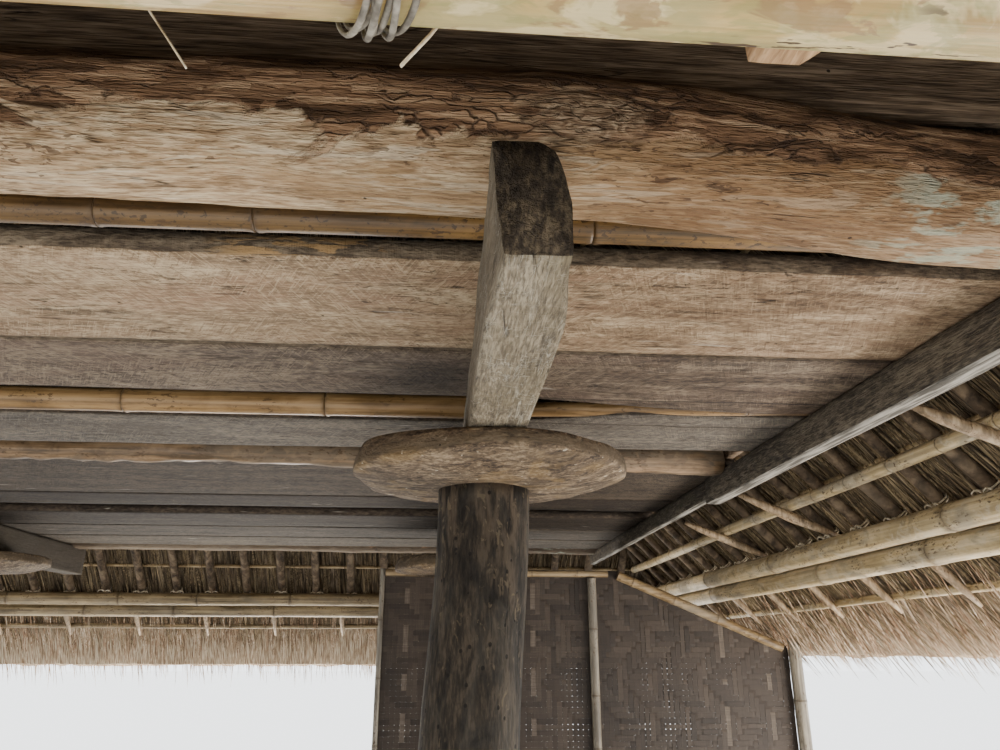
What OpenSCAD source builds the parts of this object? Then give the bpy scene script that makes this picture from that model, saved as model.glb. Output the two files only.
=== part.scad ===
/* [Posts and discs] */
// Distance between post axes across the front
post_gap_x = 2820; // [2700:10:2900]
// Distance between post axes from front to back
post_gap_y = 2670; // [2560:10:2760]
// Diameter of a post
post_d = 266; // [220:2:300]
// Height of a post under its disc
post_h = 1957; // [1800:1:2150]
// Diameter of a rat-guard disc
disc_d = 770; // [700:10:820]
// Full thickness of a disc
disc_t = 88; // [70:2:120]
// Height of the upright band round a disc's rim
disc_rim = 44; // [24:2:60]
// Diameter of the flat underneath a disc
disc_foot_d = 480; // [400:10:600]
// Diameter of the tenon that goes up through a disc
tenon_d = 150; // [100:2:180]
// Play between a tenon and its hole
tenon_fit = 2; // [1:0.5:6]

/* [Floor frame] */
// Width of a girder
girder_w = 122; // [100:2:150]
// Height of a girder
girder_h = 192; // [160:2:220]
// How far a girder runs on past the post's axis
girder_over = 1250; // [1200:5:1320]
// Width of the round of an end log
log_d = 236; // [220:2:260]
// Height of an end log between its hewn flats
log_h = 216; // [200:2:218]
// Distance from a girder's end to an end log's axis
log_inset = 153; // [140:1:170]
// Depth of the notches that seat a log
log_notch = 24; // [10:2:50]
// How far an end log runs past an edge beam
log_over = 70; // [40:5:120]
// Play at each side of a notch
notch_fit = 2; // [1:0.5:5]
// Distance from a post's axis to an edge beam's centre
edge_out = 1055; // [1000:5:1100]
// Width of an edge beam
edge_w = 70; // [60:2:90]
// Height of an edge beam
edge_h = 112; // [100:2:130]
// Distance of the scarf in an edge beam from the middle
scarf_y = 340; // [200:10:500]
// Length of the scarf in an edge beam
scarf_len = 140; // [100:5:200]

/* [Floor] */
// Thickness of a floor plank
plank_t = 46; // [36:2:60]
// Width of the first plank from the front
plank_1_w = 475; // [440:5:510]
// Width of the second plank
plank_2_w = 376; // [350:2:400]
// Width of the third plank
plank_3_w = 386; // [360:2:410]
// Width of the fourth plank
plank_4_w = 734; // [700:2:760]
// Width of the fifth plank
plank_5_w = 340; // [310:5:370]
// Width of the sixth plank
plank_6_w = 465; // [430:5:500]
// Width of the seventh plank
plank_7_w = 465; // [430:5:500]
// Gap between neighbouring planks
plank_gap = 10; // [4:1:16]
// Open strip between the first floor pole and the first plank
strip_w = 62; // [40:2:70]
// Open strip in front of the middle floor pole
slot_2_w = 192; // [170:2:214]
// Open strip in front of the third floor pole
slot_3_w = 164; // [140:2:190]
// Open strip behind the fifth plank
vent_w = 236; // [220:2:270]
// Diameter of the floor pole behind the front log
pole_1_d = 56; // [50:2:60]
// Diameter of the middle floor pole
pole_2_d = 76; // [64:2:80]
// Diameter of the third floor pole
pole_3_d = 76; // [64:2:80]

/* [Roof] */
// Pitch of all four slopes
roof_pitch = 45; // [43:0.5:47]
// Height of the rafters' meeting line above the floor
roof_rise = 2817; // [2760:1:2900]
// Half the length of the ridge
ridge_half = 105; // [80:5:160]
// Diameter of the ridge pole
ridge_d = 90; // [70:2:110]
// Diameter of a rafter
rafter_d = 50; // [44:1:56]
// Spacing of the rafters
rafter_step = 280; // [250:5:320]
// Diameter of a hip rafter
hip_d = 56; // [50:1:60]
// Diameter of a batten
batten_d = 28; // [24:1:34]
// Spacing of the battens up the slope
batten_step = 300; // [280:5:340]
// Thickness of the thatch
thatch_t = 150; // [120:5:200]
// Number of courses of thatch from the eave up to the cap
courses = 8; // [6:1:10]
// How far the lower edge of a course stands out over the next one down
course_rise = 40; // [25:5:55]
// Thickness of the cap over the ridge
cap_t = 60; // [40:5:90]
// Height of the cap over the ridge
cap_h = 420; // [340:10:500]
// How far the thatch comes down below the floor
eave_drop = 783; // [740:1:830]
// Thickness of the sill boards
sill_t = 40; // [30:2:50]

/* [Eave poles] */
// Diameter of the inner thin pole
thin_pole_d = 60; // [50:2:66]
// Diameter of the thick poles
thick_pole_d = 108; // [100:2:114]
// Drop of the inner thin pole below the floor, before it is lifted with the other side poles
inner_drop = 172; // [160:2:184]
// Drop of the upper thick pole below the floor at the two ends
upper_drop = 368; // [360:1:374]
// Distance between the thick poles' axes down the slope
thick_step = 119; // [116:1:130]
// Drop of the outermost pole below the floor at the two ends
outer_drop = 566; // [550:2:580]
// How much higher the poles lie along the two sides
side_lift = 50; // [0:5:60]
// Diameter of the sticks that carry the outermost pole
stick_d = 34; // [30:1:38]
// How far those sticks run on past the outermost pole
stick_past = 70; // [40:5:90]
// Diameter of the bearers between the inner pole and the upper thick pole
bearer_d = 36; // [30:1:40]
// How far a bearer runs on inside the inner pole
bearer_in = 240; // [180:10:300]
// How far a rafter's foot runs on past the upper thick pole
foot_past = 70; // [60:5:85]

/* [Woven wall] */
// Distance of the wall behind the back posts' axes
wall_back = 475; // [460:5:540]
// Thickness of the woven panel
wall_t = 12; // [8:1:14]
// Distance of the wall's inner end from the middle
wall_start = 900; // [850:10:1000]
// Gap between the wall's level top and the girder above it
wall_gap = 10; // [4:1:30]
// Distance from the middle at which the top starts to fall
wall_knee = 2475; // [2420:5:2520]
// Diameter of the thin pole at the wall's inner end
end_pole_d = 36; // [30:2:44]
// Diameter of the bamboo post in the wall
wall_post_d = 62; // [50:2:70]
// Distance of the bamboo post from the middle
wall_post_x = 2300; // [2240:5:2340]
// Diameter of the corner post
corner_post_d = 92; // [80:2:96]
// Distance from the thatch's inner edge to the corner post's axis
corner_inset = 80; // [70:2:90]
// Diameter of the wall's level top pole
rail_d = 50; // [40:2:60]
// Diameter of the wall's falling top pole
fall_pole_d = 66; // [56:2:76]

/* [Hidden] */
$fn = 48;

// Play left where a round pole lies on another piece
seat = 0.3;
// A cutter's reach past the face that it cuts
over = 10;
// Longer than any piece
far = 6000;

// Heights
disc_z = post_h;
girder_z = disc_z + disc_t;
floor_z = girder_z + girder_h;
floor_top = floor_z + plank_t;
log_z = floor_z - log_notch;
log_top = log_z + log_h;
apex_z = floor_top + roof_rise;
eave_z = floor_top - eave_drop;

// Places in plan
girder_half = post_gap_y / 2 + girder_over;
log_y = girder_half - log_inset;
edge_x = post_gap_x / 2 + edge_out;
floor_half = edge_x + edge_w / 2;
log_half = floor_half + log_over;
sill_y = log_y + sill_t / 2;
wall_y = post_gap_y / 2 + wall_back;

// Floor rows, worked out from the front log back
log_reach = log_d / 2;
row_pole_1 = -log_y + log_reach + seat + pole_1_d / 2;
row_1 = row_pole_1 + pole_1_d / 2 + strip_w;
row_2 = row_1 + plank_1_w + plank_gap;
row_pole_2 = row_2 + plank_2_w + slot_2_w + pole_2_d / 2;
row_3 = row_pole_2 + pole_2_d / 2 + seat;
row_pole_3 = row_3 + plank_3_w + slot_3_w + pole_3_d / 2;
row_4 = row_pole_3 + pole_3_d / 2 + seat;
row_5 = row_4 + plank_4_w + plank_gap;
row_6 = row_5 + plank_5_w + vent_w;
row_7 = row_6 + plank_6_w + plank_gap;
row_8 = row_7 + plank_7_w + plank_gap;
plank_8_w = log_y - log_reach - plank_gap - row_8;

// Layers of the roof, as distances out from the rafters' underside
rafter_n = rafter_d / 2 + seat;
hip_n = hip_d / 2 + seat;
batten_n = rafter_d + batten_d / 2 + 2 * seat;
thatch_in = rafter_d + batten_d + 3 * seat;
thatch_out = thatch_in + thatch_t;
// Height of the cap's lower edge
cap_z = apex_z + thatch_out / cos(roof_pitch) - cap_h;
stick_n = stick_d / 2 + seat;
// The outermost pole fills the room between the sticks and the thatch
outer_pole_d = rafter_d + batten_d - stick_d;
outer_n = stick_d + outer_pole_d / 2 + 2 * seat;
// Half width kept free on each side of a hip for its rafter, in plan
hip_room = (hip_d / 2 + seat) * sqrt(2);
// Place of the sticks between two rafters, as a share of their spacing
stick_share = 0.3;
// Rafters beside which a bearer lies, and its place before them as a share of their spacing
bearer_rows = [-5, 0, 3];
bearer_share = 0.18;

// Plan distance from the middle at which a layer of the roof has height z
function slope_run(z, n = 0) = (apex_z + n / cos(roof_pitch) - z) / tan(roof_pitch);
// Plan distance of the line from which a slope starts
function ridge_shift(side) = side % 2 == 0 ? ridge_half : 0;
// Half length of a slope at a plan distance from that line
function slope_half(side, run) = side % 2 == 0 ? run : run + ridge_half;
// Height of an eave pole's axis
function pole_z(side, drop) = floor_top - drop + (side % 2 == 0 ? 0 : side_lift);
// Height of the rafters' feet
function foot_z(side) = pole_z(side, upper_drop + foot_past * sin(roof_pitch))
    + thick_pole_d / 2 * cos(roof_pitch);

module post(x, y) {
    color("#5d5347")
    translate([x * post_gap_x / 2, y * post_gap_y / 2, 0]) {
        cylinder(d = post_d, h = post_h);
        cylinder(d = tenon_d, h = girder_z);
    }
}

module disc(x, y) {
    color("#8d7c66")
    translate([x * post_gap_x / 2, y * post_gap_y / 2, disc_z])
    difference() {
        union() {
            cylinder(d1 = disc_foot_d, d2 = disc_d, h = disc_t - disc_rim);
            translate([0, 0, disc_t - disc_rim]) cylinder(d = disc_d, h = disc_rim);
        }
        translate([0, 0, -over]) cylinder(d = tenon_d + tenon_fit, h = disc_t + 2 * over);
    }
}

module girder(x) {
    color("#8b7f6a")
    translate([x * post_gap_x / 2 - girder_w / 2, -girder_half, girder_z])
    cube([girder_w, 2 * girder_half, girder_h]);
}

// Cutter for the notches that take two beams on either side of the middle
module notch_pair(at, w) {
    for (x = [-at, at])
    translate([x - w / 2 - notch_fit, -log_d, -over])
    cube([w + 2 * notch_fit, 2 * log_d, log_notch + over]);
}

module end_log(y) {
    color("#9c8468")
    translate([0, y * log_y, log_z])
    difference() {
        intersection() {
            translate([-log_half, 0, log_h / 2]) rotate([0, 90, 0])
            cylinder(d = log_d, h = 2 * log_half);
            translate([-log_half, -log_d, 0]) cube([2 * log_half, 2 * log_d, log_h]);
        }
        notch_pair(post_gap_x / 2, girder_w);
        notch_pair(edge_x, edge_w);
    }
}

// Side outline of one length of an edge beam, with half of the scarf
module scarf_outline() {
    polygon([
        [-girder_half, 0],
        [-scarf_y, 0],
        [-scarf_y, edge_h / 2],
        [-scarf_y + scarf_len, edge_h / 2],
        [-scarf_y + scarf_len, edge_h],
        [-girder_half, edge_h]
    ]);
}

module edge_beam(x) {
    color("#655d54")
    translate([x * edge_x - edge_w / 2, 0, floor_z - edge_h])
    rotate([90, 0, 90]) {
        linear_extrude(edge_w) scarf_outline();
        linear_extrude(edge_w)
        difference() {
            translate([-scarf_y + seat, 0]) square([girder_half + scarf_y - seat, edge_h]);
            offset(delta = seat) scarf_outline();
        }
    }
}

module plank(row, w) {
    color("#a18c70")
    translate([-floor_half, row, floor_z]) cube([2 * floor_half, w, plank_t]);
}

module floor_poles() {
    rows = [[row_pole_1, pole_1_d], [row_pole_2, pole_2_d], [row_pole_3, pole_3_d]];
    color("#b5914f")
    for (row = rows)
    translate([-floor_half, row[0], floor_z + row[1] / 2 + seat]) rotate([0, 90, 0])
    cylinder(d = row[1], h = 2 * floor_half);
}

// Half outline of a roof layer from height z up, with its outside in courses below height cap
function layer_side(n, z, cap) = concat(
    [
        for (i = [0:courses - 1], end = [0, 1])
        if (cap > z)
        let (h = z + (i + end) * (cap - z) / courses)
        [slope_run(h, n - end * course_rise), h]
    ],
    [[slope_run(max(cap, z), n), max(cap, z)], [0, apex_z + n / cos(roof_pitch)]]
);
// Whole outline, with each half moved out by shift
function layer_outline(half, shift) = concat(
    [for (p = half) [p[0] + shift, p[1]]],
    [for (i = [len(half) - (shift > 0 ? 1 : 2):-1:0]) [-half[i][0] - shift, half[i][1]]]
);

// Solid under the four slopes of one roof layer, down to height z
module hip_solid(n, z, cap = 0) {
    half = layer_side(n, z, cap);
    intersection() {
        translate([-far, 0, 0]) rotate([90, 0, 90])
        linear_extrude(2 * far) polygon(layer_outline(half, ridge_half));
        translate([0, far, 0]) rotate([90, 0, 0])
        linear_extrude(2 * far) polygon(layer_outline(half, 0));
    }
}

// Board on an end log, cut to the slopes of the roof
module sill_end(y) {
    color("#4b4038")
    intersection() {
        translate([-floor_half, y > 0 ? sill_y - sill_t : -sill_y, log_top])
        cube([2 * floor_half, sill_t, far]);
        hip_solid(0, floor_z);
    }
}

// Board on the planks' ends, cut to the roof and round the end logs
module sill_side(x) {
    half = sill_y - sill_t - seat;
    low_half = log_y - log_reach - notch_fit;
    color("#4b4038")
    difference() {
        intersection() {
            translate([x > 0 ? floor_half - sill_t : -floor_half, -half, floor_top])
            cube([sill_t, 2 * half, far]);
            hip_solid(0, floor_z);
        }
        for (y = [-1, 1])
        translate([-far, y > 0 ? low_half : -low_half - log_d, floor_z])
        cube([2 * far, log_d, log_top + notch_fit - floor_z]);
    }
}

// Places its children on one slope: 0 front, 1 right, 2 back, 3 left
module on_side(side) {
    rotate([0, 0, 90 * side]) children();
}

// Upright wedge over one slope, held back from the hips by room
module sector(side, room = 0) {
    shift = (side % 2 == 0 ? -ridge_half : ridge_half) - room;
    linear_extrude(far)
    polygon([
        [max(shift, 0), min(shift, 0)],
        [far + shift, -far],
        [-far - shift, -far],
        [-max(shift, 0), min(shift, 0)]
    ]);
}

// Pole that lies up the slope of one side, at x along it, from height z
module slope_pole(side, x, z, n, d, len) {
    translate([x, -slope_run(z, n) - ridge_shift(side), z])
    rotate([roof_pitch - 90, 0, 0])
    cylinder(d = d, h = len);
}

module rafters(side) {
    foot = foot_z(side);
    len = slope_run(foot, rafter_n) / cos(roof_pitch);
    count = floor((slope_half(side, slope_run(foot)) - hip_room) / rafter_step);
    color("#54493d")
    on_side(side)
    intersection() {
        sector(side, hip_room);
        for (i = [-count:count])
        slope_pole(side, i * rafter_step, foot, rafter_n, rafter_d, len);
    }
}

// Ridge pole, and a rafter up each of the four hips to its ends
module ridge_and_hips() {
    z = apex_z - (ridge_d / 2 + seat) / cos(roof_pitch);
    rise = atan(tan(roof_pitch) / sqrt(2));
    run = slope_run(foot_z(0), hip_n);
    len = run * sqrt(2) / cos(rise);
    // The upper end stops where the hips of one ridge end would meet
    clear = hip_d * 0.9;
    color("#54493d") {
        translate([0, -ridge_half, z]) rotate([-90, 0, 0])
        cylinder(d = ridge_d, h = 2 * ridge_half);
        for (x = [-1, 1], y = [-1, 1])
        translate([x * run, y * (ridge_half + run), foot_z(0)])
        rotate([0, 90 - rise, atan2(-y, -x)])
        cylinder(d = hip_d, h = len - clear);
    }
}

module battens() {
    color("#b49a63")
    for (side = [0:3])
    on_side(side)
    intersection() {
        sector(side, hip_room);
        for (i = [0:floor(slope_run(foot_z(side)) / cos(roof_pitch) / batten_step) - 1]) {
            z = foot_z(side) + 2 * batten_d + i * batten_step * sin(roof_pitch);
            run = slope_run(z, batten_n);
            half = slope_half(side, run);
            translate([-half, -run - ridge_shift(side), z]) rotate([0, 90, 0])
            cylinder(d = batten_d, h = 2 * half);
        }
    }
}

// One pole along an eave, its axis n out from the rafters' underside
module eave_pole(side, z, n, d) {
    run = slope_run(z, n);
    half = slope_half(side, run) + d;
    translate([-half, -run - ridge_shift(side), z]) rotate([0, 90, 0])
    cylinder(d = d, h = 2 * half);
}

// Sticks laid over the thick poles, out past the outermost pole
module eave_sticks(side) {
    low = pole_z(side, outer_drop) - stick_past;
    high = pole_z(side, upper_drop) + thick_pole_d / 2;
    len = (high - low) / sin(roof_pitch);
    count = floor(slope_half(side, slope_run(high)) / rafter_step / 2 - stick_share);
    for (i = [-count:count])
    slope_pole(side, (2 * i + stick_share) * rafter_step, low, stick_n, stick_d, len);
}

// Sticks tied under the inner pole and laid over the upper thick one
module bearers(side) {
    thin_n = -thin_pole_d / 2 - seat;
    thick_n = -thick_pole_d / 2 - seat;
    from = [slope_run(pole_z(side, inner_drop), thin_n), pole_z(side, inner_drop)];
    to = [slope_run(pole_z(side, upper_drop), thick_n), pole_z(side, upper_drop)];
    span = norm(to - from);
    between = (thin_pole_d + thick_pole_d) / 2 + bearer_d + 2 * seat;
    fall = atan2(to[1] - from[1], to[0] - from[0]) + asin(between / span);
    below = (thin_pole_d + bearer_d) / 2 + seat;
    at = [from[0] + below * sin(fall), from[1] - below * cos(fall)];
    len = bearer_in + sqrt(span * span - between * between) + bearer_d;
    for (i = bearer_rows)
    translate([
        (i - bearer_share) * rafter_step,
        -at[0] + bearer_in * cos(fall),
        at[1] - bearer_in * sin(fall)
    ])
    rotate([90 - fall, 0, 0])
    cylinder(d = bearer_d, h = len);
}

module eave_poles(side) {
    upper_z = pole_z(side, upper_drop);
    thin_n = -thin_pole_d / 2 - seat;
    thick_n = -thick_pole_d / 2 - seat;
    color("#c2ad7c")
    on_side(side) {
        intersection() {
            sector(side, seat);
            union() {
                if (side % 2 == 1) eave_pole(side, pole_z(side, inner_drop), thin_n, thin_pole_d);
                eave_pole(side, upper_z, thick_n, thick_pole_d);
                eave_pole(side, upper_z - thick_step * sin(roof_pitch), thick_n, thick_pole_d);
                eave_pole(side, pole_z(side, outer_drop), outer_n, outer_pole_d);
            }
        }
        intersection() {
            sector(side, hip_room);
            eave_sticks(side);
        }
        if (side % 2 == 1) bearers(side);
    }
}

module thatch(side) {
    color("#8f7b5c")
    difference() {
        intersection() {
            hip_solid(thatch_out, eave_z, cap_z);
            on_side(side) sector(side);
        }
        hip_solid(thatch_in, eave_z - over);
    }
}

module ridge_cap() {
    color("#6f5d45")
    difference() {
        hip_solid(thatch_out + cap_t, cap_z);
        hip_solid(thatch_out, cap_z - over);
    }
}

// The wall's posts stand in front of its panel
post_front = wall_y - wall_t / 2 - seat;
wall_top = girder_z - wall_gap;
corner_x = slope_run(eave_z, thatch_in) - corner_inset;
// The falling top meets the corner post just under the thatch
wall_low = apex_z + thatch_in / cos(roof_pitch) - corner_x * tan(roof_pitch) - fall_pole_d / 2;

module woven_wall() {
    color("#6b5a45")
    translate([0, wall_y + wall_t / 2, 0]) rotate([90, 0, 0])
    linear_extrude(wall_t)
    polygon([
        [wall_start, 0], [corner_x, 0], [corner_x, wall_low],
        [wall_knee, wall_top], [wall_start, wall_top]
    ]);
}

module wall_posts() {
    color("#a8956a") {
        translate([wall_start + end_pole_d / 2, post_front - end_pole_d / 2, 0])
        cylinder(d = end_pole_d, h = wall_top);
        translate([wall_post_x, post_front - wall_post_d / 2, 0])
        cylinder(d = wall_post_d, h = wall_top - rail_d - seat);
        intersection() {
            translate([corner_x, post_front - corner_post_d / 2, 0])
            cylinder(d = corner_post_d, h = girder_z);
            hip_solid(thatch_in - seat, 0);
        }
    }
}

module wall_rails() {
    z = wall_top - rail_d / 2;
    x0 = wall_start + end_pole_d + seat;
    run = corner_x - corner_post_d / 2 - 2 - wall_knee;
    fall = (wall_top - wall_low) * run / (corner_x - wall_knee);
    color("#b8a376") {
        translate([x0, post_front - rail_d / 2, z]) rotate([0, 90, 0])
        cylinder(d = rail_d, h = wall_knee - x0 - fall_pole_d);
        translate([wall_knee, post_front - fall_pole_d / 2, wall_top - fall_pole_d / 2])
        rotate([0, 90 + atan2(fall, run), 0])
        cylinder(d = fall_pole_d, h = norm([run, fall]) - fall_pole_d / 2);
    }
}

post(-1, -1);  // post_front_left
post(1, -1);  // post_front_right
post(-1, 1);  // post_back_left
post(1, 1);  // post_back_right
disc(-1, -1);  // disc_front_left
disc(1, -1);  // disc_front_right
disc(-1, 1);  // disc_back_left
disc(1, 1);  // disc_back_right
girder(-1);  // girder_left
girder(1);  // girder_right
end_log(-1);  // front_log
end_log(1);  // back_log
edge_beam(-1);  // edge_beam_left
edge_beam(1);  // edge_beam_right
plank(row_1, plank_1_w);  // floor_plank_1
plank(row_2, plank_2_w);  // floor_plank_2
plank(row_3, plank_3_w);  // floor_plank_3
plank(row_4, plank_4_w);  // floor_plank_4
plank(row_5, plank_5_w);  // floor_plank_5
plank(row_6, plank_6_w);  // floor_plank_6
plank(row_7, plank_7_w);  // floor_plank_7
plank(row_8, plank_8_w);  // floor_plank_8
floor_poles();
sill_end(-1);  // sill_front
sill_end(1);  // sill_back
sill_side(-1);  // sill_left
sill_side(1);  // sill_right
rafters(0);  // rafters_front
rafters(1);  // rafters_right
rafters(2);  // rafters_back
rafters(3);  // rafters_left
ridge_and_hips();
battens();
eave_poles(0);  // eave_poles_front
eave_poles(1);  // eave_poles_right
eave_poles(2);  // eave_poles_back
eave_poles(3);  // eave_poles_left
thatch(0);  // thatch_front
thatch(1);  // thatch_right
thatch(2);  // thatch_back
thatch(3);  // thatch_left
ridge_cap();
woven_wall();
wall_posts();
wall_rails();
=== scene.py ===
# %% [markdown]
# # A raised granary, dressed in Blender
# The building stands on four posts. A wide wooden disc on each post keeps rats out, girders and
# hewn logs lie over the discs, and a plank floor closes the loft under a hipped roof of thatch.
# The frame that comes from the CAD model fixes every place and size. This lesson keeps the places
# and gives each piece the uneven shape and the finish that hand work and weather leave.

# %% Frame and measures
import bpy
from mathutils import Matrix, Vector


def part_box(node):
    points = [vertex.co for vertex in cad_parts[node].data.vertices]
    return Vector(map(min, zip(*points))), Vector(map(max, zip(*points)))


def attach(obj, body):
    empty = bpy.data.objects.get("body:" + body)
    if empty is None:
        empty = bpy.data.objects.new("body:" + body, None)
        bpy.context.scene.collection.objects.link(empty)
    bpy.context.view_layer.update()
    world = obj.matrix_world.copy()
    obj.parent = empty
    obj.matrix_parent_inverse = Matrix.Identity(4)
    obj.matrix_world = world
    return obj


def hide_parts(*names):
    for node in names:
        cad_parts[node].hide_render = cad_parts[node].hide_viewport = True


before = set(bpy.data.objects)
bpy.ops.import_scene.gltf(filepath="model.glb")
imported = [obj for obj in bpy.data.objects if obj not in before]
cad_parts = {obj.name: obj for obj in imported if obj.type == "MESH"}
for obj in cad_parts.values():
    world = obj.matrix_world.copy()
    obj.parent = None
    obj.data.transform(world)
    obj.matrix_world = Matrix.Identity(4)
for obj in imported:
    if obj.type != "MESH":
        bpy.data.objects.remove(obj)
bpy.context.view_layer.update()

import math
import bpy
import numpy as np
from mathutils import Matrix, Vector

# %% [markdown]
# ## Camera
# The photograph is taken from just inside the front eave and looks up under the floor. A wide lens
# at eye height, turned a little to the right and tilted up, repeats the view. The numbers come
# from matching the disc, the girder and the floor's lines.

# %% Camera
FOCAL, WIDE = 784.9, 1000   # focal length and picture width in pixels
EYE = Vector((1.293, -3.552, 1.531))
TURN, TILT, ROLL = (math.radians(v) for v in (4.216, 19.304, 0.095))

lens = bpy.data.cameras.new("eye")
lens.sensor_width = 36
lens.lens = FOCAL * lens.sensor_width / WIDE
lens.clip_start = 0.02
camera = bpy.data.objects.new("eye", lens)
bpy.context.scene.collection.objects.link(camera)
forward = Vector((math.sin(TURN) * math.cos(TILT), math.cos(TURN) * math.cos(TILT),
                  math.sin(TILT)))
level = Vector((math.cos(TURN), -math.sin(TURN), 0))
upward = level.cross(forward)
right = level * math.cos(ROLL) + upward * math.sin(ROLL)
above = upward * math.cos(ROLL) - level * math.sin(ROLL)
turned = Matrix((right, above, -forward)).transposed().to_4x4()
camera.matrix_world = Matrix.Translation(EYE) @ turned
bpy.context.scene.camera = camera
print("lens", round(lens.lens, 2), "mm")

# %% [markdown]
# ## Light and floor
# Under a low roof nearly all light comes back up from below. A bright, even sky and a pale floor
# do the same, and soft lamps low down add what the small studio floor can't return.

# %% Light and floor
def paint(text):
    """Linear colour of a web colour."""
    parts = [int(text[i:i + 2], 16) / 255 for i in (1, 3, 5)]
    return [p / 12.92 if p < 0.04 else ((p + 0.055) / 1.055) ** 2.4 for p in parts] + [1]


world = bpy.data.worlds.new("sky")
bpy.context.scene.world = world
world.use_nodes = True
sky = world.node_tree.nodes["Background"]
sky.inputs["Color"].default_value = (0.93, 0.97, 1, 1)
sky.inputs["Strength"].default_value = 3.35


def lamp(name, at, aim, size, power, tone):
    """Soft square lamp that the camera doesn't see."""
    data = bpy.data.lights.new(name, "AREA")
    data.shape = "SQUARE"
    data.size = size
    data.energy = power
    data.color = paint(tone)[:3]
    made = bpy.data.objects.new(name, data)
    bpy.context.scene.collection.objects.link(made)
    made.location = at
    made.rotation_mode = "QUATERNION"
    made.rotation_quaternion = (Vector(aim) - Vector(at)).to_track_quat("-Z", "Y")
    made.visible_camera = False


lamp("ground_glow", (-0.7, -1.4, 0.06), (-0.7, -0.8, 2.0), 3.4, 8, "#fff0dc")
lamp("front_day", (0.2, -5.6, 0.5), (0.6, -2.4, 2.1), 2.5, 60, "#fff8ee")
lamp("right_glow", (4.3, -0.6, 0.08), (3.7, -0.6, 2.0), 2.6, 340, "#fff4e6")
lamp("back_glow", (-0.6, 4.6, 0.08), (-0.6, 4.0, 2.0), 2.6, 370, "#fff4e6")

floor_mesh = bpy.data.meshes.new("pale_floor")
HALF_FLOOR = 60
floor_mesh.from_pydata([(x * HALF_FLOOR, y * HALF_FLOOR, 0)
                        for x, y in ((-1, -1), (1, -1), (1, 1), (-1, 1))], [], [(0, 1, 2, 3)])
pale_floor = bpy.data.objects.new("pale_floor", floor_mesh)
bpy.context.scene.collection.objects.link(pale_floor)
print("floor", 2 * HALF_FLOOR, "m wide")

# %% [markdown]
# ## Nodes for finishes
# Every finish here is weathered wood, bamboo or straw. They share a few moves: a noise that is
# drawn out along the grain, a second one for patches, thin dark cracks, round holes. Small
# helpers for those keep each finish short. They all read Object coordinates, and since every piece
# sits at the origin, the grain runs on from piece to piece at its true size.

# %% Helpers for finishes
FINEST = 900            # waves per metre of the finest noise that is worth its time


def add_node(tree, kind, inputs=None, **settings):
    """Node of a tree with its settings; an input is a value or an output of another node."""
    node = tree.nodes.new(kind)
    for key, value in settings.items():
        setattr(node, key, value)
    for key, value in (inputs or {}).items():
        if isinstance(value, bpy.types.NodeSocket):
            tree.links.new(value, node.inputs[key])
        else:
            node.inputs[key].default_value = value
    return node


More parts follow.
